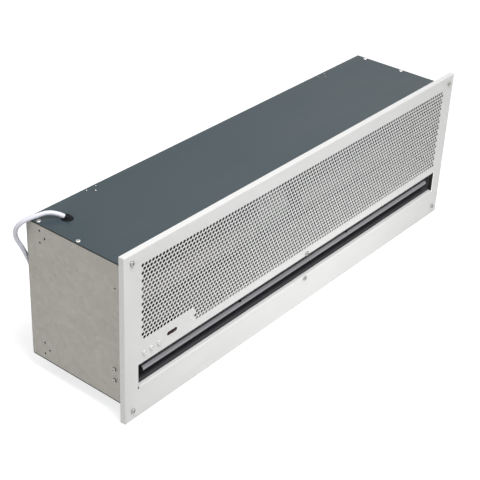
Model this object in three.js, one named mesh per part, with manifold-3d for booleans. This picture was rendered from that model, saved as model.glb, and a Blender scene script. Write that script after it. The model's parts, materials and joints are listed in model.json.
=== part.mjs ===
// A recessed air curtain: a flat box for a wall or ceiling void, behind a perforated front panel
// with a long outlet slot. A motor in the middle turns two cross-flow impellers, which draw air in
// through the perforation and blow it out of the slot, past a vane.
// Millimetres. X runs along the unit, -Y is the front, +Z is up. The origin is under the middle of
// the unit, at the lower edge of the front panel.
import * as THREE from 'three';
import { mergeVertices } from 'three/addons/utils/BufferGeometryUtils.js';
import ManifoldModule from 'manifold-3d';

const wasm = await ManifoldModule();
wasm.setup();

// ---- Driving dimensions -------------------------------------------------------------------------
const GAP = 0.3; // left between pieces that touch

// Front panel: a shallow folded tray.
const PANEL_LENGTH = 964;
const PANEL_HEIGHT = 320;
const PANEL_DEPTH = 11;
const PANEL_SHEET = 1;
const UNIT_DEPTH = 228;
const FRONT = -UNIT_DEPTH / 2;
const PANEL_REAR = FRONT + PANEL_DEPTH;

// Outlet slot in the panel, with a return flange along its lower edge.
const SLOT_LEFT = -451;
const SLOT_RIGHT = 456;
const SLOT_BOTTOM = 60;
const SLOT_TOP = 100;
const SLOT_MIDDLE = (SLOT_LEFT + SLOT_RIGHT) / 2;
const LIP_DEPTH = 8;
const RELIEF_RADIUS = 2;

// Perforation: staggered rows of small round holes in the real panel. Here one diamond stands for
// a four by four patch of them, at the same share of open area.
const HOLE_RADIUS = 3;
const HOLE_PITCH = 8;
const ROW_PITCH = 7.2;
const PATCH = 4;
const FIELD_HALF_LENGTH = 444;
const FIELD_TOP = 293;
const FIELD_ROWS = 24;
const NOTCH_ROWS = 4; // rows that stop short of the controls
const NOTCH_RIGHT = -318;
const DIAMOND_RADIUS = PATCH * HOLE_RADIUS * Math.sqrt(Math.PI / 2);

// Housing: a wrap of sheet (top, back, bottom) between two end plates.
const HOUSING_HALF_LENGTH = 472;
const HOUSING_BOTTOM = 27.5;
const HOUSING_TOP = 295.5;
const HOUSING_BACK = UNIT_DEPTH / 2;
const HOUSING_SHEET = 1.2;
const HOUSING_FRONT = PANEL_REAR - GAP;
const EDGE_FLANGE = 20; // outward flange of the wrap, hidden in the panel's tray
const END_FLANGE = 11; // inward flange of an end plate
const END_FLANGE_SETBACK = 4; // the flange starts this far behind the housing's front
const INNER_TOP = HOUSING_TOP - HOUSING_SHEET - GAP;
const INNER_BOTTOM = HOUSING_BOTTOM + HOUSING_SHEET + GAP;
const INNER_BACK = HOUSING_BACK - HOUSING_SHEET - GAP;

// Holes and screws of the housing.
const WRAP_SCREW_X = 465;
const WRAP_SCREW_Y = [1, 91];
const END_SCREW_Y = -80.7;
const END_SCREW_Z = [91, 68.5];
const BRACKET_HOLES_TOP = [[-319, 108], [-330, 97], [-341, 108]];
const BRACKET_HOLES_END = [[83, 285], [71.5, 274], [83, 262.5], [83, 63.5], [71.5, 52.5], [83, 41]];
const BRACKET_HOLE_RADIUS = 2;
const CASE_SCREW_SHANK = 1.9;
const CASE_SCREW_HOLE = 2.5;
const CASE_SCREW_HEAD = 4;
const CASE_SCREW_HEIGHT = 2.4;
const CASE_SCREW_LENGTH = 7;
const SIDE_HOLE = [-84.5, 249.5];
const SIDE_HOLE_RADIUS = 1.6;
const THROUGH = 5; // how far a cutting tool reaches past a sheet

// Front panel screws.
const PANEL_SCREW_SHANK = 2;
const PANEL_SCREW_HOLE = 2.6;
const PANEL_SCREW_HEAD = 4.6;
const PANEL_SCREW_HEIGHT = 2.6;
const PANEL_SCREW_LENGTH = 15;
const PANEL_SCREWS = [
  [-464, 304.5], [464, 304.5], [-464, 19], [464, 19], [SLOT_MIDDLE, 109.5], [SLOT_MIDDLE, 54.6],
];

// Air path, in section: impeller centre, scroll spiral and tongue.
const AXIS_Y = 5;
const AXIS_Z = 165;
const IMPELLER_RADIUS = 55;
const BLADE_INNER_RADIUS = 43;
const BLADE_COUNT = 20;
const BLADE_SHEET = 1.3;
const BLADE_LEAN = 0.2; // radians that a blade leans forward from its inner to its outer edge
const DISC_SHEET = 2.5;
const IMPELLER_GAP_TO_MOTOR = 64;
const IMPELLER_OUTER_END = 432;
const HUB_RADIUS = 14;
const HUB_LENGTH = 14;
const DUCT_SHEET = 1;
const DUCT_LEFT = SLOT_LEFT - 2;
const DUCT_RIGHT = SLOT_RIGHT + 2;
const SCROLL_START = THREE.MathUtils.degToRad(-10);
const SCROLL_START_RADIUS = 60;
const SCROLL_END_RADIUS = 95;
const SCROLL_STEPS = 12;
const SCROLL_TOP_FLANGE = 18;
const SCROLL_LIP_DROP = 1.6; // the scroll's floor ends this far under the slot's lower edge
const SCROLL_FRONT_FLANGE = 13.4;
const DUCT_FACE_Y = PANEL_REAR + 1.3; // plane of the duct's front flanges, behind the panel
// The tongue in section, from its front flange to its fold beside the impeller: y, height over
// the slot's top.
const TONGUE_LINE = [
  [DUCT_FACE_Y, 2], [DUCT_FACE_Y, 14], [-60, 16], [-44, 18.5], [-37, 22], [-38.5, 25], [-54, 34],
];
const SHAFT_PASSAGE_RADIUS = 9; // hole of a side wall round the end shaft
const SPACER_RADIUS = 5; // sleeve between a side wall and the end plate, for a screw
const SPACER_BORE_DEPTH = 9;

// Motor and its supports.
const MOTOR_RADIUS = 46;
const MOTOR_HALF_LENGTH = 42;
const MOTOR_BOSS_RADIUS = 14;
const MOTOR_BOSS_LENGTH = 10;
const MOTOR_SHOULDER = 8; // length of the shell's slanted shoulders
const MOTOR_FINS = 10;
const MOTOR_FIN_HEIGHT = 2;
const MOTOR_FIN_SHEET = 2.4;
const SHAFT_RADIUS = 6;
const SHAFT_OVERHANG = 77;
const RING_OUTER = 21;
const RING_WIDTH = 8;
const CRADLE_SHEET = 3;
const CRADLE_FOOT = [-42, 2]; // y of its front and back edges
const CRADLE_OVERHANG = 8; // of the foot past an arm
const CRADLE_HORN = 6; // width of an arm beside its ring
const END_SHAFT_RADIUS = 4;
const BEARING_OUTER = 11;
const BEARING_WIDTH = 7;
const BEARING_MOUNT_RADIUS = 19;

// Vane in the slot.
const VANE_AXIS = [-95, 104]; // y, z
const VANE_RIM = [-106.3, 81.5];
const VANE_LEFT = -432.5;
const VANE_RIGHT = 437;
const VANE_SHEET = 1.6;
const VANE_HANGERS = [-179, 148];
const VANE_NOTCH = 6;
const VANE_PIN_RADIUS = 2.5;
const VANE_SOCKET_DEPTH = 9;
const VANE_BOW = 2;
const VANE_SPINE_RADIUS = 3.6;
const VANE_RIM_RADIUS = 1.9;
const BUSH_WALL = 1.5;
const BUSH_COLLAR = 3;
const HANGER_HALF_DEPTH = 3.5;
const HANGER_SHEET = 2;
const HANGER_FOOT = { halfLength: 6, back: 14, sheet: 1.4 };
const HANGER_TIP_RISE = 9; // the hanger's tip stays this far above the vane's rim

// Controls behind the plain corner of the panel.
const BUTTON_X = [-436.6, -419.1, -401.6];
const BUTTON_Z = 123.6;
const BUTTON_RADIUS = 4.6;
const BUTTON_PROUD = 2.4;
const BUTTON_TRAVEL = 1.2;
const BUTTON_CHAMFER = 0.7;
const BUTTON_STEM_RADIUS = 1.6;
const WINDOW_X = -370.6;
const WINDOW_Z = 129.5;
const WINDOW_LENGTH = 24;
const WINDOW_HEIGHT = 6.8;
const WINDOW_PROUD = 0.4;
const WINDOW_STEM_INSET = 2;
const CONTROL_BOX = { left: -450, right: -346, bottom: 116, top: 147, depth: 15, wall: 1.5 };
const BOARD_SHEET = 1.6;
const SWITCH_HALF_SIZE = 3;
const SWITCH_DEPTH = 6; // from the box's front wall to a switch
const SOCKET = { halfWidth: 6, height: 6, top: 4, bottom: 10 }; // for the control cable

// Electrical box under the top sheet, at the cable's end.
const WIRING_BOX = { left: -448, right: -340, front: 16, back: 108, bottom: 240, wall: 1.2 };
const WIRE_RADIUS = 3;
const WIRE_LEVEL = 288;
const TERMINAL_BASE = { left: -418, right: -388, front: 44, back: 88, height: 6 };
const TERMINAL_TOWER = { inset: 4, first: 2, pitch: 8.4, length: 6, top: 17 };
const TERMINALS = 5;
const CAPACITOR = { x: -376, y: 66, radius: 14, length: 27, edge: 1 };
const CAPACITOR_TAB = { from: -350, to: -343, low: 11, high: 17, apart: 10, sheet: 2 };
const MOTOR_WIRE_X = -20;
const CONTROL_WIRE_X = -431;

// Supply lead.
const CORD_RADIUS = 4;
const GLAND_X = -428;
const GLAND_Y = 64;
const GLAND_TILT = THREE.MathUtils.degToRad(28); // the lead leaves this far above the level
const GLAND_HEADING = new THREE.Vector2(-0.651, 0.759); // and this way as seen from above
const GLAND_RISE = 2.2; // foot of the spout over the sheet
const GLAND_REACH = 5; // length of the spout
const GLAND_SPOUT = [7.4, 6]; // its radius at the foot and at the tip
const GLAND_COLLAR = { radius: 10.5, height: 1.6, edge: 0.8 };
const GLAND_NECK = 8;
const GLAND_NUT = { radius: 12, height: 5 };
const COIL_X = -255;
const COIL_Y = 190;
const COIL_TURNS = 4;
const COIL_INNER_RADIUS = 34.2;
const COIL_SPACING = 8.7;
const COIL_LIFT = 0.8; // room for the tie under the coil
const COIL_LAYER = 8.8;
const COIL_STEPS = 24;
const COIL_SIDES = 6;
const TIE_BAND = 0.7;
const TIE_SLACK = 0.5;
const TIE_HALF_WIDTH = 3;
const PLUG_RELIEF = [[0, 0], [4.3, 0], [5, 12], [6.6, 26], [0, 26]]; // radius, distance along
const PLUG_GRIP = [[25, 8], [33, 15], [58, 17], [62, 14]]; // distance along, half width
const PLUG_PIN = { radius: 2.4, length: 19, tip: 1.5, root: 2, apart: 19 };

// ---- Materials ----------------------------------------------------------------------------------
const finish = (color, metalness, roughness) =>
  new THREE.MeshStandardMaterial({ color, metalness, roughness });
const WHITE_COAT = finish(0xdcdcda, 0, 0.45);
const SLATE_SHEET = finish(0x5a636b, 0.3, 0.35);
const ZINC_SHEET = finish(0xa09d96, 0.7, 0.4);
const DARK_SHEET = finish(0x3a3a3c, 0.4, 0.5);
const STEEL = finish(0xc8c8c8, 1, 0.3);
const ALUMINIUM = finish(0xa8a8a8, 1, 0.35);
const RUBBER = finish(0x1c1c1c, 0, 0.8);
const BLACK_PLASTIC = finish(0x181818, 0, 0.5);
const WHITE_PLASTIC = finish(0xe8e8ee, 0, 0.4);
const CAST_CASING = finish(0x8a8a88, 0.6, 0.5);
const SMOKED_WINDOW = finish(0x2a0c14, 0, 0.15);
const BOARD_GREEN = finish(0x2f5a3c, 0, 0.5);

// ---- Solids -------------------------------------------------------------------------------------
const unit = new THREE.Group();

function solidOf(geometry) {
  const bare = geometry.clone();
  bare.deleteAttribute('normal');
  bare.deleteAttribute('uv');
  const merged = mergeVertices(bare, 1e-4);
  return new wasm.Manifold(
    new wasm.Mesh({
      numProp: 3,
      vertProperties: new Float32Array(merged.attributes.position.array),
      triVerts: new Uint32Array(merged.index.array),
    }),
  );
}

function geometryOf(solid) {
  const { vertProperties, triVerts } = solid.getMesh();
  const geometry = new THREE.BufferGeometry();
  geometry.setAttribute('position', new THREE.BufferAttribute(new Float32Array(vertProperties), 3));
  geometry.setIndex(new THREE.BufferAttribute(new Uint32Array(triVerts), 1));
  geometry.computeVertexNormals();
  return geometry;
}

const join = (...solids) => solids.reduce((whole, solid) => whole.add(solid));
const cut = (solid, ...tools) => tools.reduce((left, tool) => left.subtract(tool), solid);

function addPiece(name, solid, material) {
  const mesh = new THREE.Mesh(geometryOf(solid), material);
  mesh.name = name;
  unit.add(mesh);
}

function outlineShape(points, holes = []) {
  const shape = new THREE.Shape(points.map(([a, b]) => new THREE.Vector2(a, b)));
  for (const hole of holes) {
    shape.holes.push(new THREE.Path(hole.map(([a, b]) => new THREE.Vector2(a, b))));
  }
  return shape;
}

function prism(points, holes, depth, toAxes) {
  const shape = outlineShape(points, holes);
  const geometry = new THREE.ExtrudeGeometry(shape, { depth, bevelEnabled: false });
  return solidOf(geometry.applyMatrix4(toAxes));
}

// Prisms along each axis; their outlines are given in (y, z), (x, z) and (x, y).
const X = new THREE.Vector3(1, 0, 0);
const Y = new THREE.Vector3(0, 1, 0);
const Z = new THREE.Vector3(0, 0, 1);
function prismX(points, x0, x1, holes = []) {
  return prism(points, holes, x1 - x0, new THREE.Matrix4().makeBasis(Y, Z, X).setPosition(x0, 0, 0));
}
function prismY(points, y0, y1, holes = []) {
  const axes = new THREE.Matrix4().makeBasis(X, Z, Y.clone().negate()).setPosition(0, y1, 0);
  return prism(points, holes, y1 - y0, axes);
}
function prismZ(points, z0, z1, holes = []) {
  return prism(points, holes, z1 - z0, new THREE.Matrix4().setPosition(0, 0, z0));
}
const rectangle = (a0, b0, a1, b1) => [[a0, b0], [a1, b0], [a1, b1], [a0, b1]];
function block(x0, y0, z0, x1, y1, z1) {
  return prismZ(rectangle(x0, y0, x1, y1), z0, z1);
}
function polygon(a, b, radius, sides, turn = 0) {
  return Array.from({ length: sides }, (_, i) => {
    const angle = turn + (2 * Math.PI * i) / sides;
    return [a + radius * Math.cos(angle), b + radius * Math.sin(angle)];
  });
}

// Turned solids. A profile lists [radius, distance along the axis] and closes on itself.
function turned(profile, sides) {
  const points = profile.map(([radius, along]) => new THREE.Vector2(radius, along));
  const closed = profile[0][0] === 0 ? points : [...points, points[0].clone()];
  return new THREE.LatheGeometry(closed, sides);
}
function turnedX(profile, sides, x, y, z) {
  return solidOf(turned(profile, sides).rotateZ(-Math.PI / 2).translate(x, y, z));
}
function turnedZ(profile, sides, x, y, z) {
  return solidOf(turned(profile, sides).rotateX(Math.PI / 2).translate(x, y, z));
}
function turnedTowardsFront(profile, sides, x, y, z) {
  return solidOf(turned(profile, sides).rotateX(Math.PI).translate(x, y, z));
}
const ringProfile = (inner, outer, from, to) => [[inner, from], [outer, from], [outer, to], [inner, to]];
const rodProfile = (radius, from, to) => [[0, from], [radius, from], [radius, to], [0, to]];

// The outline of a sheet folded along a line of points, with its metal to the left of the line.
function foldedSheet(line, thickness) {
  const direction = (p, q) => new THREE.Vector2(q[0] - p[0], q[1] - p[1]).normalize();
  const last = line.length - 1;
  const inner = line.map((point, i) => {
    const before = direction(line[Math.max(i - 1, 0)], line[Math.max(i, 1)]);
    const after = direction(line[Math.min(i, last - 1)], line[Math.min(i + 1, last)]);
    const miter = thickness / (1 + before.dot(after));
    return [point[0] - miter * (before.y + after.y), point[1] + miter * (before.x + after.x)];
  });
  return [...line, ...inner.reverse()];
}

function panHeadProfile(head, height, shank, length) {
  return [
    [0, -length], [shank, -length], [shank, 0], [head, 0], [head, 0.45 * height],
    [0.62 * head, height], [0, height],
  ];
}

// ---- Housing ------------------------------------------------------------------------------------
function housingWrap() {
  const line = [
    [HOUSING_FRONT, HOUSING_BOTTOM - EDGE_FLANGE],
    [HOUSING_FRONT, HOUSING_BOTTOM],
    [HOUSING_BACK, HOUSING_BOTTOM],
    [HOUSING_BACK, HOUSING_TOP],
    [HOUSING_FRONT, HOUSING_TOP],
    [HOUSING_FRONT, HOUSING_TOP + EDGE_FLANGE],
  ];
  const halfLength = HOUSING_HALF_LENGTH - HOUSING_SHEET - GAP;
  const sheet = prismX(foldedSheet(line, HOUSING_SHEET), -halfLength, halfLength);
  const above = HOUSING_TOP + THROUGH;
  const below = HOUSING_TOP - THROUGH;
  const mirrored = BRACKET_HOLES_TOP.map(([x, y]) => [-x, y]);
  const bracketHoles = [...BRACKET_HOLES_TOP, ...mirrored].map(([x, y]) =>
    prismZ(polygon(x, y, BRACKET_HOLE_RADIUS, 6), below, above));
  const screwHoles = wrapScrewPlaces().map(([x, y]) =>
    prismZ(polygon(x, y, CASE_SCREW_HOLE, 6), below, above));
  const cornerHoles = PANEL_SCREWS.slice(0, 4).map(([x, z]) =>
    prismY(polygon(x, z, PANEL_SCREW_HOLE, 6), HOUSING_FRONT - THROUGH, HOUSING_FRONT + THROUGH));
  const cableHole = prismZ(polygon(GLAND_X, GLAND_Y, GLAND_NECK + GAP, 16), below, above);
  return cut(sheet, ...bracketHoles, ...screwHoles, ...cornerHoles, cableHole);
}

function wrapScrewPlaces() {
  return [-1, 1].flatMap((side) => WRAP_SCREW_Y.map((y) => [side * WRAP_SCREW_X, y]));
}

// side is -1 for the left end and 1 for the right end.
function endPlate(side) {
  const outer = HOUSING_HALF_LENGTH;
  const inner = outer - HOUSING_SHEET;
  const plate = prismX(
    rectangle(HOUSING_FRONT, HOUSING_BOTTOM, HOUSING_BACK, HOUSING_TOP),
    Math.min(side * inner, side * outer),
    Math.max(side * inner, side * outer),
    [
      ...BRACKET_HOLES_END.map(([y, z]) => polygon(y, z, BRACKET_HOLE_RADIUS, 6)),
      ...END_SCREW_Z.map((z) => polygon(END_SCREW_Y, z, CASE_SCREW_HOLE, 6)),
      polygon(...SIDE_HOLE, SIDE_HOLE_RADIUS, 6),
    ],
  );
  const flangeFrom = Math.min(side * (inner - END_FLANGE), side * (inner + 0.5));
  const flangeTo = Math.max(side * (inner - END_FLANGE), side * (inner + 0.5));
  const flangeFront = HOUSING_FRONT + END_FLANGE_SETBACK;
  const top = block(
    flangeFrom, flangeFront, INNER_TOP - HOUSING_SHEET, flangeTo, INNER_BACK, INNER_TOP);
  const bottom = block(
    flangeFrom, flangeFront, INNER_BOTTOM, flangeTo, INNER_BACK, INNER_BOTTOM + HOUSING_SHEET);
  const screwHoles = WRAP_SCREW_Y.map((y) =>
    prismZ(
      polygon(side * WRAP_SCREW_X, y, CASE_SCREW_HOLE, 6), INNER_TOP - THROUGH, INNER_TOP + THROUGH));
  return cut(join(plate, top, bottom), ...screwHoles);
}

addPiece('housing_wrap', housingWrap(), SLATE_SHEET);
addPiece('end_plate_left', endPlate(-1), ZINC_SHEET);
addPiece('end_plate_right', endPlate(1), ZINC_SHEET);

const caseScrew = panHeadProfile(
  CASE_SCREW_HEAD, CASE_SCREW_HEIGHT, CASE_SCREW_SHANK, CASE_SCREW_LENGTH);
wrapScrewPlaces().forEach(([x, y], i) => {
  addPiece(`top_screw_${i + 1}`, turnedZ(caseScrew, 8, x, y, HOUSING_TOP + GAP), STEEL);
});

// ---- Front panel --------------------------------------------------------------------------------
function perforation() {
  const stepX = PATCH * HOLE_PITCH;
  const stepZ = PATCH * ROW_PITCH;
  const rows = FIELD_ROWS / PATCH;
  const across = Math.floor((2 * FIELD_HALF_LENGTH) / stepX);
  const notchTop = FIELD_TOP - (FIELD_ROWS - NOTCH_ROWS) * ROW_PITCH;
  const holes = [];
  for (let row = 0; row < rows; row += 1) {
    const z = FIELD_TOP - (row + 0.5) * stepZ;
    const shift = row % 2 === 0 ? -0.25 : 0.25;
    for (let column = 0; column < across; column += 1) {
      const x = (column + 0.5 - across / 2 + shift) * stepX;
      const inNotch = z < notchTop && x - DIAMOND_RADIUS < NOTCH_RIGHT;
      if (!inNotch) {
        holes.push(polygon(x, z, DIAMOND_RADIUS, 4));
      }
    }
  }
  return holes;
}

function obround(a, b, length, height, steps) {
  const radius = height / 2;
  const reach = (length - height) / 2;
  const end = (side) => Array.from({ length: steps + 1 }, (_, i) => {
    const angle = -Math.PI / 2 + (Math.PI * i) / steps + (side < 0 ? Math.PI : 0);
    return [a + side * reach + radius * Math.cos(angle), b + radius * Math.sin(angle)];
  });
  return [...end(1), ...end(-1)];
}

function frontPanel() {
  const half = PANEL_LENGTH / 2;
  const relief = RELIEF_RADIUS;
  const slot = [
    [SLOT_LEFT, SLOT_TOP],
    [SLOT_LEFT, SLOT_BOTTOM + relief],
    [SLOT_LEFT - relief / 2, SLOT_BOTTOM],
    [SLOT_LEFT + relief / 2, SLOT_BOTTOM - relief],
    [SLOT_LEFT + 1.5 * relief, SLOT_BOTTOM],
    [SLOT_RIGHT - 1.5 * relief, SLOT_BOTTOM],
    [SLOT_RIGHT - relief / 2, SLOT_BOTTOM - relief],
    [SLOT_RIGHT + relief / 2, SLOT_BOTTOM],
    [SLOT_RIGHT, SLOT_BOTTOM + relief],
    [SLOT_RIGHT, SLOT_TOP],
  ];
  const face = prismY(
    rectangle(-half, 0, half, PANEL_HEIGHT),
    FRONT,
    FRONT + PANEL_SHEET,
    [
      slot,
      ...perforation(),
      ...PANEL_SCREWS.map(([x, z]) => polygon(x, z, PANEL_SCREW_HOLE, 6)),
      ...BUTTON_X.map((x) => polygon(x, BUTTON_Z, BUTTON_RADIUS + GAP, 12)),
      obround(WINDOW_X, WINDOW_Z, WINDOW_LENGTH + 2 * GAP, WINDOW_HEIGHT + 2 * GAP, 4),
    ],
  );
  const inset = PANEL_SHEET;
  const rim = prismY(
    rectangle(-half, 0, half, PANEL_HEIGHT),
    FRONT,
    PANEL_REAR,
    [rectangle(-half + inset, inset, half - inset, PANEL_HEIGHT - inset)],
  );
  const lipEnd = 1.5 * relief;
  const lip = block(
    SLOT_LEFT + lipEnd, FRONT, SLOT_BOTTOM - PANEL_SHEET,
    SLOT_RIGHT - lipEnd, FRONT + LIP_DEPTH, SLOT_BOTTOM);
  return join(face, rim, lip);
}

addPiece('front_panel', frontPanel(), WHITE_COAT);

const panelScrew = panHeadProfile(
  PANEL_SCREW_HEAD, PANEL_SCREW_HEIGHT, PANEL_SCREW_SHANK, PANEL_SCREW_LENGTH);
PANEL_SCREWS.forEach(([x, z], i) => {
  addPiece(`panel_screw_${i + 1}`, turnedTowardsFront(panelScrew, 8, x, FRONT - GAP, z), STEEL);
});

// ---- Duct: scroll, tongue and side walls ----------------------------------------------------------
// Angles round the impeller's axis start at the top and turn towards the back.
function aroundAxis(radius, angle) {
  return [AXIS_Y + radius * Math.sin(angle), AXIS_Z + radius * Math.cos(angle)];
}

function scrollSpiral() {
  const growth = Math.log(SCROLL_END_RADIUS / SCROLL_START_RADIUS) / (Math.PI - SCROLL_START);
  return Array.from({ length: SCROLL_STEPS + 1 }, (_, i) => {
    const turn = ((Math.PI - SCROLL_START) * i) / SCROLL_STEPS;
    return aroundAxis(SCROLL_START_RADIUS * Math.exp(growth * turn), SCROLL_START + turn);
  });
}

function scrollCasing() {
  const [startY] = aroundAxis(SCROLL_START_RADIUS, SCROLL_START);
  const line = [
    [startY + SCROLL_TOP_FLANGE, INNER_TOP - DUCT_SHEET],
    [startY, INNER_TOP - DUCT_SHEET],
    ...scrollSpiral(),
    [DUCT_FACE_Y, SLOT_BOTTOM - SCROLL_LIP_DROP],
    [DUCT_FACE_Y, SLOT_BOTTOM - SCROLL_LIP_DROP - SCROLL_FRONT_FLANGE],
  ];
  // The line is walked with the air on its right, so the metal lies outside the air path.
  const outline = foldedSheet(line, DUCT_SHEET);
  const sheet = prismX(outline, DUCT_LEFT + GAP, DUCT_RIGHT - GAP);
  const through = (x) =>
    prismY(polygon(x, WIRE_LEVEL, WIRE_RADIUS + 3 * GAP, 10), startY - THROUGH, startY + THROUGH);
  const [screwX, screwZ] = PANEL_SCREWS[5];
  const screwHole = prismY(
    polygon(screwX, screwZ, PANEL_SCREW_HOLE, 6), DUCT_FACE_Y - THROUGH, DUCT_FACE_Y + THROUGH);
  return cut(sheet, through(MOTOR_WIRE_X), through(CONTROL_WIRE_X), screwHole);
}

function outletTongue() {
  const line = TONGUE_LINE.map(([y, rise]) => [y, SLOT_TOP + rise]);
  const sheet = prismX(foldedSheet(line, DUCT_SHEET), DUCT_LEFT + GAP, DUCT_RIGHT - GAP);
  const [screwX, screwZ] = PANEL_SCREWS[4];
  const screwHole = prismY(
    polygon(screwX, screwZ, PANEL_SCREW_HOLE, 6), DUCT_FACE_Y - THROUGH, DUCT_FACE_Y + THROUGH);
  return cut(sheet, screwHole);
}

// A side wall closes the duct; it stands between the housing's bottom and top and carries a
// bearing, a vane bush and two spacers for the screws in the end plate.
function sideWall(side, inner) {
  const outer = inner + side * HOUSING_SHEET;
  const reach = side * (HOUSING_HALF_LENGTH - HOUSING_SHEET - GAP);
  const from = Math.min(inner, outer);
  const to = Math.max(inner, outer);
  const wall = prismX(
    rectangle(DUCT_FACE_Y, INNER_BOTTOM, INNER_BACK, INNER_TOP),
    from,
    to,
    [
      polygon(AXIS_Y, AXIS_Z, SHAFT_PASSAGE_RADIUS, 16),
      polygon(...VANE_AXIS, VANE_PIN_RADIUS + BUSH_WALL + GAP, 12),
    ],
  );
  const spacerFrom = Math.min(inner + side * 0.5, reach);
  const spacerTo = Math.max(inner + side * 0.5, reach);
  const spacers = END_SCREW_Z.map((z) =>
    prismX(polygon(END_SCREW_Y, z, SPACER_RADIUS, 10), spacerFrom, spacerTo));
  const bores = END_SCREW_Z.map((z) =>
    prismX(
      polygon(END_SCREW_Y, z, CASE_SCREW_HOLE, 6),
      Math.min(reach, reach - side * SPACER_BORE_DEPTH),
      Math.max(reach, reach - side * SPACER_BORE_DEPTH)));
  return cut(join(wall, ...spacers), ...bores);
}

addPiece('scroll_casing', scrollCasing(), DARK_SHEET);
addPiece('outlet_tongue', outletTongue(), ZINC_SHEET);
addPiece('duct_wall_left', sideWall(-1, DUCT_LEFT), DARK_SHEET);
addPiece('duct_wall_right', sideWall(1, DUCT_RIGHT), DARK_SHEET);

[-1, 1].forEach((side) => {
  END_SCREW_Z.forEach((z, i) => {
    const upright = turned(caseScrew, 8).rotateZ((-side * Math.PI) / 2);
    const x = side * (HOUSING_HALF_LENGTH + GAP);
    const name = `end_screw_${side < 0 ? 'left' : 'right'}_${i + 1}`;
    addPiece(name, solidOf(upright.translate(x, END_SCREW_Y, z)), STEEL);
  });
});

// ---- Impellers ----------------------------------------------------------------------------------
// A blade is a thin strip, curved forward, between the inner and the outer radius.
function bladeOutline(turn) {
  const stations = [0, 0.55, 1];
  const halfAngle = (radius) => BLADE_SHEET / 2 / radius;
  const at = (t, side) => {
    const radius = BLADE_INNER_RADIUS + (IMPELLER_RADIUS - 0.5 - BLADE_INNER_RADIUS) * t;
    return aroundAxis(radius, turn - BLADE_LEAN * t * t + side * halfAngle(radius));
  };
  return [...stations.map((t) => at(t, 1)), ...stations.map((t) => at(t, -1)).reverse()];
}

// side is -1 for the left impeller and 1 for the right one.
function impeller(side) {
  const near = SLOT_MIDDLE + side * IMPELLER_GAP_TO_MOTOR;
  const far = SLOT_MIDDLE + side * IMPELLER_OUTER_END;
  const middle = (near + far) / 2;
  const disc = (x, towards, bore) => turnedX(
    towards > 0
      ? [
        [bore, 0], [IMPELLER_RADIUS, 0], [IMPELLER_RADIUS, DISC_SHEET], [HUB_RADIUS, DISC_SHEET],
        [HUB_RADIUS, HUB_LENGTH], [bore, HUB_LENGTH],
      ]
      : [
        [bore, -HUB_LENGTH], [HUB_RADIUS, -HUB_LENGTH], [HUB_RADIUS, -DISC_SHEET],
        [IMPELLER_RADIUS, -DISC_SHEET], [IMPELLER_RADIUS, 0], [bore, 0],
      ],
    BLADE_COUNT, x, AXIS_Y, AXIS_Z);
  const hoop = turnedX(
    ringProfile(BLADE_INNER_RADIUS - 4, IMPELLER_RADIUS, -DISC_SHEET / 2, DISC_SHEET / 2),
    BLADE_COUNT, middle, AXIS_Y, AXIS_Z);
  const from = Math.min(near, far) + 1;
  const to = Math.max(near, far) - 1;
  const blades = Array.from({ length: BLADE_COUNT }, (_, i) =>
    prismX(bladeOutline((2 * Math.PI * (i + 0.5)) / BLADE_COUNT), from, to));
  return join(
    disc(near, side, SHAFT_RADIUS + GAP), disc(far, -side, END_SHAFT_RADIUS + GAP), hoop, ...blades);
}

addPiece('impeller_left', impeller(-1), ALUMINIUM);
addPiece('impeller_right', impeller(1), ALUMINIUM);

function endShaft(side) {
  const hubEnd = SLOT_MIDDLE + side * (IMPELLER_OUTER_END - HUB_LENGTH);
  const tip = side < 0 ? DUCT_LEFT - 12 : DUCT_RIGHT + 10;
  return turnedX(
    rodProfile(END_SHAFT_RADIUS, Math.min(hubEnd, tip), Math.max(hubEnd, tip)), 12,
    0, AXIS_Y, AXIS_Z);
}
addPiece('end_shaft_left', endShaft(-1), STEEL);
addPiece('end_shaft_right', endShaft(1), STEEL);

// Each end bearing sits in a rubber mount on the outer face of the duct's side wall.
[['left', -1, DUCT_LEFT], ['right', 1, DUCT_RIGHT]].forEach(([name, side, inner]) => {
  const face = inner + side * (HOUSING_SHEET + GAP);
  const mid = face + side * (1 + BEARING_WIDTH / 2);
  const bearing = ringProfile(
    END_SHAFT_RADIUS + GAP, BEARING_OUTER, -BEARING_WIDTH / 2, BEARING_WIDTH / 2);
  const mount = ringProfile(
    BEARING_OUTER + GAP, BEARING_MOUNT_RADIUS, -1 - BEARING_WIDTH / 2, 1 + BEARING_WIDTH / 2);
  addPiece(`bearing_${name}`, turnedX(bearing, 20, mid, AXIS_Y, AXIS_Z), STEEL);
  addPiece(`bearing_mount_${name}`, turnedX(mount, 20, mid, AXIS_Y, AXIS_Z), RUBBER);
});

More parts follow.
